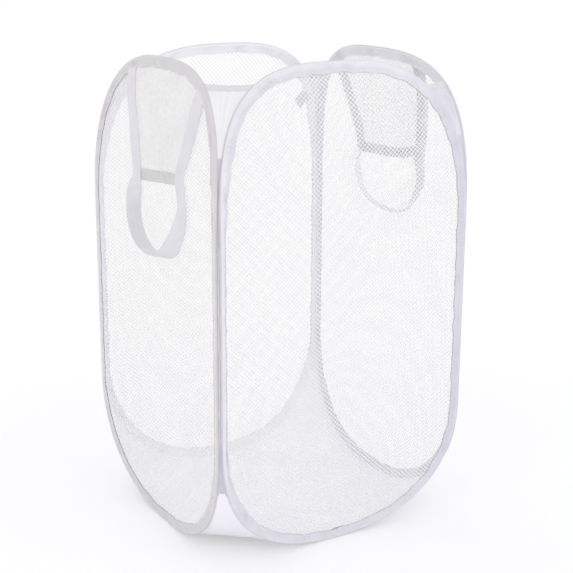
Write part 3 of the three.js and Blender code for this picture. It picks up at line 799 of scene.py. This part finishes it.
def make_net(panel, rng):
    low, high = (-LOOP_HALF_WIDTH, 0), (LOOP_HALF_WIDTH, OVERALL_HEIGHT)
    flat, faces, crest = net_cells(
        low, high, (0, MIDDLE_HEIGHT), lambda u, z: inside_loop(u, z, NET_TUCK) < 1
    )
    u, z = wandered(flat, rng)
    depth = np.clip(1 - inside_loop(u, z, NET_TUCK), 0, 1) ** 0.5
    billow = waves(rng, u + 0.15 * z, *BILLOWS_ACROSS) * 0.5 + waves(rng, z - 0.4 * u, *BILLOWS_UP) * 0.5
    out = -NET_SAG * depth * (0.6 + 0.4 * billow) + THREAD_RISE * (crest - 0.5)
    piece = make_piece(f"{panel.name}_mesh_net", panel.place(u, z, out), faces, NET)
    soft(piece, panel, f"{panel.name}_net")


# Corner gussets and seam tapes

CORNER_GAP_SHARE = 0.36
PLY_SHIFT = 0.00035
GUSSET_FOOT = 0.503
GUSSET_ROWS = 14
GUSSET_COLUMNS = 40
GUSSET_LAP = 0.002
GUSSET_THICKNESS = 0.0003
GUSSET_HEM_ROWS = 6
GUSSET_HEM_WIDTH = 0.006
GUSSET_HEM_THICKNESS = 0.0007
GUSSET_CALM_LENGTH = 0.014
# Depth of a gusset's folds, creases and sag, as shares of its width
FOLD_SHARE = 0.020
CREASE_SHARE = 0.004
SAG_SHARE = 0.03
# Period, shortest and longest length of its folds and creases, also as shares
GUSSET_FOLDS = (1.0, 0.14, 0.4)
GUSSET_CREASES = (1.0, 0.06, 0.12)
SEAM_TAPE_COLUMNS = 9
SEAM_TAPE_STEP = 0.003
SEAM_TAPE_LAP = 0.003
SEAM_TAPE_THICKNESS = 0.0006
SEAM_TAPE_HOLLOW = 0.0012
SEAM_SIDES = 12
SEAM_STEP = 0.0006
SEAM_RADIUS = 0.0012
SEAM_TURN = 0.0032
SEAM_WOBBLE = 0.00006
SEAM_WAVES = (0.3, 0.02, 0.06)


def corner_rows(corner, heights, spring, top, power, across):
    """Lines across a corner between two panels' arches: their points, widths and places in the cloth."""
    before, after = (PANELS[n] for n in CORNERS[corner])
    u = LOOP_HALF_WIDTH * arch_share((heights - spring) / (top - spring), power)
    here, there = before.place(u, heights, 0), after.place(-u, heights, 0)
    gap = np.linalg.norm(there - here, axis=1, keepdims=True)
    way = (there - here) / gap * np.minimum(TAPE_BULGE, CORNER_GAP_SHARE * gap)
    here, there = here + way, there - way
    rows = here[:, None] + (there - here)[:, None] * across[:, None]
    width = np.linalg.norm(there - here, axis=1)[:, None]
    return rows, width, np.column_stack([(width * across).ravel(), np.repeat(heights, len(across))])


def make_plies(corner, title, surface, normal, shift, thickness, material, weave, node):
    """A cloth across a corner, in two plies, so that each panel keeps its own when folded."""
    faces = grid_faces(*surface.shape[:2])
    pieces = []
    for name, way in zip(CORNERS[corner], (-1, 1)):
        points = surface + normal * (way * shift)
        pieces.append(make_cloth(
            f"{corner}_{title}_{name}_ply", points, faces, thickness, material, weave,
            PANELS[name], node,
        ))
    return pieces


def make_gusset(corner, rng):
    """A corner's gusset and the hem along its upper edge."""
    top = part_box(f"{corner}_gusset_hem")[1].z
    hem_foot = top - GUSSET_HEM_WIDTH
    across = np.linspace(0, 1, GUSSET_COLUMNS)
    folds = waves(rng, across, *GUSSET_FOLDS)
    creases = waves(rng, across, *GUSSET_CREASES)
    slack = np.sin(math.pi * across) ** 0.7
    # The front right gusset takes the darker copy of its cloth: painted shade
    cloth = SHADED_GUSSET_CLOTH if corner == "front_right" else GUSSET_CLOTH
    cloth_heights = np.linspace(GUSSET_FOOT, hem_foot + GUSSET_LAP, GUSSET_ROWS)
    hem_heights = np.linspace(hem_foot, top, GUSSET_HEM_ROWS)
    parts = [
        ("gusset", cloth_heights, GUSSET_THICKNESS, cloth, "sheet", CREASE_SHARE, PLY_SHIFT),
        ("gusset_hem", hem_heights, GUSSET_HEM_THICKNESS, HEM_TAPE, "tape", 0, 2 * PLY_SHIFT),
    ]
    for part, heights, thickness, material, slot, creased, shift in parts:
        rows, width, weave = corner_rows(corner, heights, UPPER_SPRING, LOOP_TOP, UPPER_POWER, across)
        foot = rows[0, 0]
        outwards = unit(np.cross(rows[0, -1] - foot, rows[-1, 0] - foot))
        if outwards @ (foot * (1, 1, 0)) < 0:
            outwards = -outwards
        climb = np.clip((heights - GUSSET_FOOT) / (top - GUSSET_FOOT), 0, 1)[:, None]
        near_hem = (heights - hem_foot + GUSSET_CALM_LENGTH) / GUSSET_CALM_LENGTH
        calm = 1 - 0.8 * smooth_step(near_hem)[:, None]
        wave = (FOLD_SHARE * folds + creased * creases) * slack * (0.35 + 0.65 * climb) * calm * width
        surface = rows + outwards * wave[..., None]
        surface[..., 2] -= SAG_SHARE * slack * climb**2 * width
        node = f"{corner}_{part}"
        plies = make_plies(corner, part, surface, outwards, shift, thickness, material, weave, node)
        if part == "gusset":
            area = surface_area(rows.reshape(-1, 3), grid_faces(*rows.shape[:2]))
            box = (float(width.max()), area / float(width.mean()))
            area = min(area, box[0] * box[1])


def make_seam_tapes(corner):
    """Tapes that close a corner between the bindings, above and below its rolled seam."""
    across = np.linspace(0, 1, SEAM_TAPE_COLUMNS)
    upper, lower = (UPPER_SPRING, LOOP_TOP, UPPER_POWER), (LOWER_SPRING, LOOP_BOTTOM, LOWER_POWER)
    parts = [
        ("upper", upper, UPPER_SPRING, GUSSET_FOOT + SEAM_TAPE_LAP, f"{corner}_gusset"),
        ("lower", lower, BASE_RISE - SEAM_TAPE_LAP, LOWER_SPRING, "base_sheet"),
    ]
    for part, arch, foot, head, node in parts:
        rows, _, weave = corner_rows(corner, np.arange(foot, head, SEAM_TAPE_STEP), *arch, across)
        inwards = unit(-rows[:, SEAM_TAPE_COLUMNS // 2] * (1, 1, 0))[:, None]
        surface = rows + inwards * (np.sin(math.pi * across) * SEAM_TAPE_HOLLOW)[:, None]
        make_plies(
            corner, f"seam_tape_{part}", surface, inwards, PLY_SHIFT, SEAM_TAPE_THICKNESS,
            CORNER_TAPES[corner], weave[:, ::-1], node,
        )


def make_seam(corner, rng):
    """Rolled corner seam, overcast with thread: a cord with a slanting ridge round it."""
    low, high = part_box(f"{corner}_seam")
    count = round((high.z - low.z) / SEAM_STEP)
    z = np.linspace(low.z, high.z, count)[:, None]
    turns = circle(SEAM_SIDES)
    ridge = np.maximum(0, np.cos(turns - math.tau * z / SEAM_TURN)) ** 4
    radius = SEAM_RADIUS * (0.82 + 0.2 * ridge)
    wobble = waves(rng, z[:, 0], *SEAM_WAVES)[:, None] * SEAM_WOBBLE
    x = (low.x + high.x) / 2 + radius * np.cos(turns) + wobble
    y = (low.y + high.y) / 2 + radius * np.sin(turns) - wobble
    points = np.stack([x, y, np.broadcast_to(z, x.shape)], -1)
    weave = np.column_stack([np.repeat(z.ravel(), SEAM_SIDES), np.tile(turns * SEAM_RADIUS, count)])
    faces = tube_faces(count, SEAM_SIDES)
    piece = make_piece(f"{corner}_rolled_seam", points, faces, CORNER_TAPES[corner], weave)
    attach(piece, frame["nodes"][f"{corner}_seam"]["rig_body"])
    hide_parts(f"{corner}_seam")


# Base sheet

BASE_ARCH_ROWS = 40
BASE_MIDDLE_ROWS = 36
BASE_COLUMNS = 24
BASE_THICKNESS = 0.0004
BASE_LIFT = 0.0004
BASE_DROP_HEIGHT = 0.02
BASE_CLEARANCE = 0.0002
BASE_LAP = 0.0012
BASE_LAP_STEP = 0.0001
BASE_TURN_LENGTH = 0.05
BASE_GRAIN = 1e-6
WRINKLES = 4
WRINKLE_HEIGHT = 0.0009
WRINKLE_PERIODS = (0.05, 0.12)
WRINKLED_HALF_WIDTH = 0.150
WRINKLE_FADE = 0.02


def base_height(x, y, wrinkles):
    """Soft wrinkles of the base: a height over its plane, never below it."""
    total = np.zeros_like(x)
    for angle, period, phase in wrinkles:
        run = x * math.cos(angle) + y * math.sin(angle)
        bend = 0.15 * period * np.sin(math.tau * (x * 3.1 - y * 2.3))
        total += np.maximum(0, np.sin(math.tau * (run + bend) / period + phase)) ** 2
    return WRINKLE_HEIGHT * total


def base_half(panel, side):
    """Half of a panel's quarter of the base: rows from its lower arch to the corner's middle line."""
    height = LOOP_BOTTOM - LOWER_SPRING
    steep = math.asin(((BASE_RISE - LOWER_SPRING) / height) ** (LOWER_POWER / 2))
    turn = np.linspace(steep, math.pi / 2, BASE_ARCH_ROWS)
    u = LOOP_HALF_WIDTH * np.cos(turn) ** (2 / LOWER_POWER)
    z = LOWER_SPRING + height * np.sin(turn) ** (2 / LOWER_POWER)
    names = list(PANELS)
    neighbour = PANELS[names[(names.index(panel.name) + side) % len(names)]]
    own, other = panel.place(side * u, z, 0), neighbour.place(-side * u, z, 0)
    way = unit(other - own)
    middle = (own + other) / 2 + way * BASE_LAP
    inset = way * (TAPE_BULGE + BASE_CLEARANCE)
    tangent = panel.spin(np.array([[1.0, 0, 0]]))[0]
    sideways = inset @ tangent * (1 - np.clip(u / BASE_TURN_LENGTH, 0, 1))
    own = own + inset - np.outer(sideways, tangent)
    centre = np.array([0, 0, own[-1, 2]])
    shrink = np.linspace(0, 1, BASE_MIDDLE_ROWS + 1)[1:, None]
    own, middle = (np.vstack([line, line[-1] + (centre - line[-1]) * shrink]) for line in (own, middle))
    return own[:, None] + (middle - own)[:, None] * np.linspace(0, 1, BASE_COLUMNS)[:, None]


def make_base_quarter(panel, wrinkles):
    """A quarter of the base sheet: from one panel's lower arch to the hamper's middle."""
    points = np.vstack([base_half(panel, side).reshape(-1, 3) for side in (1, -1)])
    grid = grid_faces(BASE_ARCH_ROWS + BASE_MIDDLE_ROWS, BASE_COLUMNS)
    faces = np.vstack([grid, grid[:, ::-1] + len(points) // 2])
    kept, shared = merged(points, BASE_GRAIN)
    points = points[kept]
    corners = [tuple(dict.fromkeys(face)) for face in shared[faces].tolist()]
    faces = [face for face in corners if len(face) > 2]
    x, y, z = points.T.copy()
    drop = np.clip(1 - (z - LOOP_BOTTOM) / BASE_DROP_HEIGHT, 0, 1)
    points[:, 2] += BASE_LIFT - (LOOP_BOTTOM - TAPE_BULGE) * drop
    edge = smooth_step((WRINKLED_HALF_WIDTH - np.maximum(np.abs(x), np.abs(y))) / WRINKLE_FADE)
    points[:, 2] += base_height(x, y, wrinkles) * edge
    if point_normals(points, faces)[:, 2].sum() > 0:
        faces = [face[::-1] for face in faces]
    if panel.name in ("left", "right"):
        points = points + point_normals(points, faces) * BASE_LAP_STEP
    piece = make_cloth(
        f"base_sheet_{panel.name}_quarter", points, faces, BASE_THICKNESS, BASE_CLOTH, points[:, :2],
        panel, "base_sheet",
    )


# Handles

# Both edges of each strap in millimetres, from the far end to the near one: along world Y, up and
# out of the panel for one edge, then for the other
LEFT_STRAP = [
    (73.5, 584, 0.2, 94.5, 579, 0.2),
    (68, 573, 2, 90, 569, 2),
    (57, 546, 2.8, 80, 543, 2.8),
    (44, 520, 2.6, 66, 516, 3),
    (34, 496, 2.6, 57, 491, 3.2),
    (27, 472, 2.6, 50, 468, 2.6),
    (24, 456, 2.6, 47, 453, 3),
    (20, 440, 2.8, 35, 438, 15),
    (21, 424, 3, 21, 424, 23),
    (21, 406, 3, 16.5, 407, 24.5),
    (11, 386, 3, 5.5, 388, 24.3),
    (-8, 373, 3, -11, 377, 24.5),
    (-34, 368, 3, -34, 372, 24.5),
    (-57, 368, 3, -55, 374, 24),
    (-77, 376, 3, -69, 384, 21.5),
    (-92, 393, 3, -77, 399, 16),
    (-101, 413, 2.8, -81, 416, 8.5),
    (-103, 433, 2.8, -83, 434, 4.2),
    (-97, 455, 2.6, -76, 455, 3.4),
    (-94, 472, 2.6, -71, 471, 2.8),
    (-106, 498, 2.6, -84, 501, 3.4),
    (-115, 524, 2.8, -92, 527, 3.6),
    (-119, 546, 2.2, -95, 553, 2.4),
    (-119, 562, 0.4, -97, 570, 0.4),
    (-119, 573, 0.2, -98, 584, 0.2),
]
RIGHT_STRAP = [
    (91, 584, 0.2, 113, 576.5, 0.2),
    (88, 574, 0.4, 110, 566, 0.4),
    (83, 563, 2.2, 105, 556, 2.2),
    (77, 541, 2.8, 99, 536, 3),
    (69, 519, 2.7, 91, 514, 3.3),
    (60, 498, 2.6, 82, 493, 3.3),
    (54, 476, 2.6, 74, 471, 2.8),
    (55, 460, 2.6, 74, 455, 4),
    (66, 447, 2.8, 84, 444, 14),
    (78, 435, 3, 92, 427, 19),
    (79, 420, 3, 90, 411, 21),
    (71, 402, 3, 83, 395, 21),
    (54, 388, 3, 64, 382, 21.5),
    (27, 379, 3, 36, 376, 22.5),
    (-10, 377, 3, -8, 377, 22.5),
    (-32, 381, 3, -26, 387, 19),
    (-47, 388, 3, -37, 398, 15),
    (-62, 402, 2.8, -47, 409, 11),
    (-78, 421, 2.8, -58, 424, 7),
    (-83, 438, 2.6, -62, 439, 4.4),
    (-82, 456, 2.6, -60, 458, 3),
    (-86, 480, 2.6, -64, 482, 3),
    (-90, 510, 2.8, -68, 512, 3.4),
    (-92, 540, 2.9, -70, 541, 3.2),
    (-91, 566, 2.2, -69, 568, 2.4),
    (-91, 582, 0.2, -69, 584, 0.2),
]
# Each hem's middle line in millimetres, from the far end to the near one
LEFT_HEM = [(30, 456), (5, 458), (-25, 461), (-50, 463.5), (-78, 464)]
RIGHT_HEM = [(62, 457.5), (30, 458.5), (-5, 460), (-35, 462.5), (-66, 468)]
MILLIMETRE = 0.001

STRAP_THICKNESS = 0.0012
STRAP_ROWS = 260
STRAP_RIPPLE = 0.00012
STRAP_STITCH_LINES = (3, 9)
STRAP_STITCHES_END = 0.002
SEWN_BELOW_HEM = 0.004
HEM_HALF_WIDTH = 0.0070
HEM_THICKNESS = 0.0011
HEM_ROWS = 90
HEM_RIPPLE = 0.00022
HEM_STITCH_SHIFT = 0.0052
HEM_STITCHES_PAST_END = 0.004
FLAP_OUT = 0.0012
HEM_OUT = FLAP_OUT + 0.0006
HEM_STITCH_OUT = FLAP_OUT + 0.0013
FLAP_TUCK = 0.0060
FLAP_TOP = 0.5895
FLAP_FOOT_LAP = 0.002
FLAP_CELL_SHARE = 0.62
FLAP_HOLE_SHARE = 0.80
FLAP_LOW, FLAP_HIGH = (-0.13, 0.44), (0.13, 0.60)
FLAP_CELL_AT = (0.0012, 0.4615)
FLAP_BELLY = 0.0011
FLAP_BELLY_TOP, FLAP_BELLY_FOOT = 0.03, 0.02
FLAP_REST_LENGTH = 0.006
FLAP_GATHERS = (0.4, 0.006, 0.022)

# Section of a ribbon: places across it, as shares of its half width, and its height there
RIBBON_PLACES = np.array([-1, -0.985, -0.95, -0.84, -0.55, -0.25, 0, 0.25, 0.55, 0.84, 0.95, 0.985, 1])
RIBBON_WAVES = (0.012, 0.05)
RIBBON_HEIGHTS = np.array([0.25, 0.7, 1, 0.8, 0.85, 0.85, 0.85, 0.85, 0.85, 0.8, 1, 0.7, 0.25])


def curve_through(rows, count):
    """A smooth curve through rows of numbers, in even steps of its own length."""
    rows = np.asarray(rows, float)
    knots = np.r_[0, np.cumsum(np.linalg.norm(np.diff(rows, axis=0), axis=1) ** 0.5)]
    slopes = np.gradient(rows, knots, axis=0)
    fine = np.linspace(0, knots[-1], 30 * len(rows))
    k = np.clip(np.searchsorted(knots, fine, "right") - 1, 0, len(rows) - 2)
    width = (knots[k + 1] - knots[k])[:, None]
    t = ((fine - knots[k])[:, None]) / width
    line = (
        rows[k] * (2 * t**3 - 3 * t**2 + 1)
        + slopes[k] * width * (t**3 - 2 * t**2 + t)
        + rows[k + 1] * (3 * t**2 - 2 * t**3)
        + slopes[k + 1] * width * (t**3 - t**2)
    )
    return at_lengths(line, np.linspace(0, lengths_along(line)[-1], count))


def ribbon(name, panel, first, second, thickness, material, rng, ripple):
    """A tape between two edge lines given in the panel's axes, with rounded edges."""
    a, b = (panel.place(panel.side * u, z, out) for u, z, out in (first.T, second.T))
    middle = (a + b) / 2
    across = b - a
    width = np.linalg.norm(across, axis=1).mean()
    along = unit(np.gradient(middle, axis=0))
    normal = unit(np.cross(along, across))
    lengths = lengths_along(middle)
    share = RIBBON_PLACES / 2
    lip = RIBBON_HEIGHTS * thickness / 2
    period = lengths[-1] * 1.3
    lift = [waves(rng, lengths + 0.3 * s * width, period, *RIBBON_WAVES) * ripple for s in share]
    lift = np.stack(lift, 1)
    spine = middle[:, None] + across[:, None] * share[:, None]
    upper = spine + normal[:, None] * (lift + lip)[..., None]
    lower = spine + normal[:, None] * (lift - lip)[..., None]
    rings = np.concatenate([upper, lower[:, ::-1]], 1)
    places = np.r_[share, -share[::-1]] * width
    weave = np.column_stack([np.repeat(lengths, len(places)), np.tile(places, len(lengths))])
    piece = make_piece(name, rings, tube_faces(*rings.shape[:2]), material, weave)
    facing = (normal @ np.array(panel.outwards) > 0)[:, None]
    surface = np.where(facing[..., None], upper, lower)
    return piece, middle, surface, np.where(facing, normal, -normal), along


def loop_inner_height(u, inset):
    """Height of the upper arch's outline at a place along it, drawn in by inset."""
    share = arch_share(np.abs(u) / (LOOP_HALF_WIDTH - inset), UPPER_POWER)
    return UPPER_SPRING + (LOOP_TOP - UPPER_SPRING - inset) * share


def make_strap(panel, name, edges, hem, rng):
    """The webbing strap and the stitches that hold it down as far as the hem."""
    strap, middle, surface, normal, along = ribbon(
        f"{name}_webbing", panel, edges[:, :3], edges[:, 3:], STRAP_THICKNESS, WEBBING, rng, STRAP_RIPPLE
    )
    lengths = lengths_along(middle)
    places = np.arange(STRAP_STITCHES_END, lengths[-1] - STRAP_STITCHES_END, STITCH_PITCH)
    picked = np.searchsorted(lengths, places)
    picked = picked[middle[picked, 2] > min(hem[0][1], hem[-1][1]) - SEWN_BELOW_HEM]
    i = np.repeat(picked, len(STRAP_STITCH_LINES))
    lines = np.tile(STRAP_STITCH_LINES, len(picked))
    centres = surface[i, lines] + normal[i] * STITCH_RADIUS * 0.5
    return strap, make_stitches(f"{name}_stitches", centres, along[i], normal[i], rng)


def make_hem(panel, name, hem, rng):
    """The tape across the flap's lower edge, and its two rows of stitches."""
    line = curve_through([(y, z, HEM_OUT) for y, z in hem], HEM_ROWS)
    up = np.array([0, HEM_HALF_WIDTH, 0])
    taper = 1 - 0.25 * smooth_step(np.linspace(-3, 1, HEM_ROWS))[:, None]
    # The left handle's hem takes the darker copy of the hem tape: painted shade
    cloth = SHADED_LEFT_HEM_TAPE if panel.name == "left" else HEM_TAPE
    low, high = line - up * taper, line + up
    tape, *_ = ribbon(f"{name}_hem_tape", panel, low, high, HEM_THICKNESS, cloth, rng, HEM_RIPPLE)
    low_y, high_y = hem[-1][0] + HEM_STITCHES_PAST_END, hem[0][0] - HEM_STITCHES_PAST_END
    ys = np.arange(low_y, high_y, STITCH_PITCH)
    zs = np.interp(ys, *np.array(hem)[::-1].T)
    rows = [
        stitch_line(panel, panel.side * ys, zs + shift, panel.side, 0, HEM_STITCH_OUT)
        for shift in (-HEM_STITCH_SHIFT, HEM_STITCH_SHIFT)
    ]
    return tape, make_stitches(f"{name}_hem_stitches", *np.hstack(rows), rng)


def make_flap(panel, name, edges, hem, rng):
    """The handle's net flap, between the two straps, its hem and the arch's binding."""
    half = len(edges) // 2
    line = (edges[:, [1, 0]] + edges[:, [4, 3]]) / 2
    low = min(z for _, z in hem)
    sewn = line[:, 0] > low
    far, near = line[:half][sewn[:half]][::-1], line[half:][sewn[half:]]
    hem_line = np.array(hem)[::-1]

    def keep(u, z):
        y = panel.side * u
        foot = np.interp(y, *hem_line.T) - FLAP_FOOT_LAP
        top = np.minimum(loop_inner_height(u, TAPE_REACH - FLAP_TUCK), FLAP_TOP)
        inside = (y < np.interp(z, *far.T)) & (y > np.interp(z, *near.T))
        return inside & (z > foot) & (z < top - CELL_HALF_HEIGHT)

    shares = (FLAP_CELL_SHARE, FLAP_HOLE_SHARE)
    flat, faces, crest = net_cells(FLAP_LOW, FLAP_HIGH, FLAP_CELL_AT, keep, *shares)
    u, z = wandered(flat, rng)
    drop = loop_inner_height(u, TAPE_REACH) - z
    climb = np.clip(drop / FLAP_BELLY_TOP, 0, 1) * np.clip((z - low) / FLAP_BELLY_FOOT, 0, 1)
    gathers = waves(rng, u + 0.1 * z, *FLAP_GATHERS)
    rest = FLAP_OUT * (0.25 + 0.75 * smooth_step(drop / FLAP_REST_LENGTH))
    out = rest + THREAD_RISE * (crest - 0.5) + FLAP_BELLY * climb * (1 + gathers * 0.55)
    piece = make_piece(f"{name}_flap_net", panel.place(u, z, out), faces, SHADED_FLAP_NET)
    return piece, flat, net_area(flat[faces])


def make_handle(panel, strap, hem, rng):
    """A handle's strap, hem and net flap, which swing together."""
    name = f"{panel.name}_handle"
    edges = curve_through(np.array(strap) * MILLIMETRE, STRAP_ROWS)
    hem = [(y * MILLIMETRE, z * MILLIMETRE) for y, z in hem]
    for piece in make_strap(panel, name, edges, hem, rng):
        soft(piece, panel, f"{name}_strap", body=name)
    for piece in make_hem(panel, name, hem, rng):
        soft(piece, panel, f"{name}_hem", body=name)
    piece, flat, area = make_flap(panel, name, edges, hem, rng)
    soft(piece, panel, f"{name}_flap", body=name)


LABEL_COLUMNS = 17
LABEL_OUT = -0.0024
LABEL_CURL = 0.0022
LABEL_WAVE = 0.0005
LABEL_THICKNESS = 0.0004


def make_label():
    """Bare care label, sewn by one corner into the back panel's binding and curling a little."""
    panel = PANELS["back"]
    low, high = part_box("care_label")
    reach = (high.x - low.x) / 2
    share = np.linspace(-1, 1, LABEL_COLUMNS)
    a, b = (v.ravel() for v in np.meshgrid(share, share))
    along, up = (a + b) / 2 * reach, (b - a) / 2 * reach
    free = np.clip((along / reach + 1) / 2, 0, 1)
    curl = LABEL_CURL * free**2 + LABEL_WAVE * np.sin(5 * up / reach) * free
    points = panel.place(along - (low.x + high.x) / 2, (low.z + high.z) / 2 + up, LABEL_OUT - curl)
    faces = grid_faces(LABEL_COLUMNS, LABEL_COLUMNS)
    weave = np.column_stack([a, b]) * reach / math.sqrt(2)
    piece = make_cloth(
        "care_label_cloth", points, faces, LABEL_THICKNESS, LABEL, weave,
        panel, "care_label",
    )


# Camera, lights and floor

PHOTO_SIDE = 573
SENSOR = 36.0
FOCAL_PIXELS = 1277.5
CAMERA_AZIMUTH = math.radians(-30.77)
CAMERA_ELEVATION = math.radians(15.61)
CAMERA_ROLL = math.radians(0.25)
CAMERA_DISTANCE = 1.690
CAMERA_AIM = Vector((0.0185, 0.0, 0.2917))
# Name, place, power and colour of each lamp
LAMPS = [
    ("key_softbox", (1.4, -2.4, 1.1), 14, (0.95, 0.955, 1.0)),
    ("fill_softbox", (-2.2, -1.2, 1.4), 8.0, (1.0, 0.95, 0.86)),
    ("back_softbox", (0, 1.8, 1.9), 6, (1.0, 1.0, 1.0)),
]
LAMP_SIZE = 1.6
WORLD_COLOUR = (0.985, 0.98, 1.0, 1)
WORLD_STRENGTH = 0.93
FLOOR_SIDES = 64
FLOOR_RINGS = (0.2, 0.4, 0.7, 1.0, 1.5, 2.5, 5, 9, 14.0)
FLOOR_COLOUR = (0.935, 0.94, 0.965, 1)
FLOOR_GLOW_NEAR = 0.40
FLOOR_GLOW_START = 0.28
FLOOR_GLOW_END = 0.85


def make_camera():
    data = bpy.data.cameras.new("camera")
    data.sensor_width = SENSOR
    data.lens = FOCAL_PIXELS * SENSOR / PHOTO_SIDE
    camera = bpy.data.objects.new("camera", data)
    bpy.context.scene.collection.objects.link(camera)
    bpy.context.scene.camera = camera
    level = math.cos(CAMERA_ELEVATION)
    back = Vector((
        math.sin(CAMERA_AZIMUTH) * level,
        -math.cos(CAMERA_AZIMUTH) * level,
        math.sin(CAMERA_ELEVATION),
    ))
    turn = (-back).to_track_quat("-Z", "Y").to_matrix() @ Matrix.Rotation(CAMERA_ROLL, 3, "Z")
    camera.matrix_world = Matrix.Translation(CAMERA_AIM + back * CAMERA_DISTANCE) @ turn.to_4x4()


def make_lamp(name, place, power, colour):
    """A round softbox that faces the hamper's middle."""
    data = bpy.data.lights.new(name, "AREA")
    data.shape = "DISK"
    data.size = LAMP_SIZE
    data.energy = power
    data.color = colour
    lamp = bpy.data.objects.new(name, data)
    lamp.location = place
    way = Vector((0, 0, OVERALL_HEIGHT / 2)) - Vector(place)
    lamp.rotation_euler = way.to_track_quat("-Z", "Y").to_euler()
    bpy.context.scene.collection.objects.link(lamp)


def make_world():
    """Even studio light, and plain white where the background is seen."""
    world = bpy.data.worlds.new("studio")
    bpy.context.scene.world = world
    nodes = Nodes(world)
    nodes.tree.nodes.clear()
    light = nodes.add("ShaderNodeBackground", {"Color": WORLD_COLOUR, "Strength": WORLD_STRENGTH})
    white = nodes.add("ShaderNodeBackground", {"Color": WHITE, "Strength": 1.0})
    nodes.add("ShaderNodeOutputWorld", {"Surface": nodes.mixed(nodes.seen_share(), light, white)})


def make_floor():
    """White floor that keeps the soft shadow and turns into the white background further out."""
    points = [[r * math.cos(t), r * math.sin(t), 0] for r in FLOOR_RINGS for t in circle(FLOOR_SIDES)]
    rings = grid_faces(len(FLOOR_RINGS), FLOOR_SIDES, columns_joined=True)[:, ::-1]
    nodes = Nodes("floor_white")
    floor = make_piece("floor", points, [list(range(FLOOR_SIDES))] + rings.tolist(), nodes.owner)
    nodes.feed(nodes.shader, {"Base Color": FLOOR_COLOUR, "Roughness": 0.9, "Specular IOR Level": 0.1})
    length = nodes.add("ShaderNodeVectorMath", {0: nodes.position()}, operation="LENGTH")
    spread = nodes.add("ShaderNodeMapRange", {
        "Value": length.outputs["Value"],
        "From Min": FLOOR_GLOW_START,
        "From Max": FLOOR_GLOW_END,
        "To Min": FLOOR_GLOW_NEAR,
        "To Max": 1.0,
    }, interpolation_type="SMOOTHSTEP")
    share = nodes.math("MULTIPLY", nodes.seen_share(), spread.outputs[0])
    glow = nodes.add("ShaderNodeEmission", {"Color": WHITE})
    nodes.show(nodes.mixed(share, nodes.shader, glow))


make_camera()
rng = np.random.default_rng(SEED)
for panel in PANELS.values():
    make_wire(panel)
    make_crimp(panel)
    make_binding(panel, rng)
    make_binding_stitches(panel, rng)
    make_net(panel, rng)
for corner in CORNERS:
    make_gusset(corner, rng)
    make_seam(corner, rng)
    make_seam_tapes(corner)
wrinkles = [
    (rng.uniform(0, math.pi), rng.uniform(*WRINKLE_PERIODS), rng.uniform(0, math.tau))
    for _ in range(WRINKLES)
]
for panel in PANELS.values():
    make_base_quarter(panel, wrinkles)
make_handle(PANELS["left"], LEFT_STRAP, LEFT_HEM, rng)
make_handle(PANELS["right"], RIGHT_STRAP, RIGHT_HEM, rng)
make_label()
for lamp in LAMPS:
    make_lamp(*lamp)
make_world()
make_floor()

scene = bpy.context.scene
scene.view_settings.view_transform = "Standard"
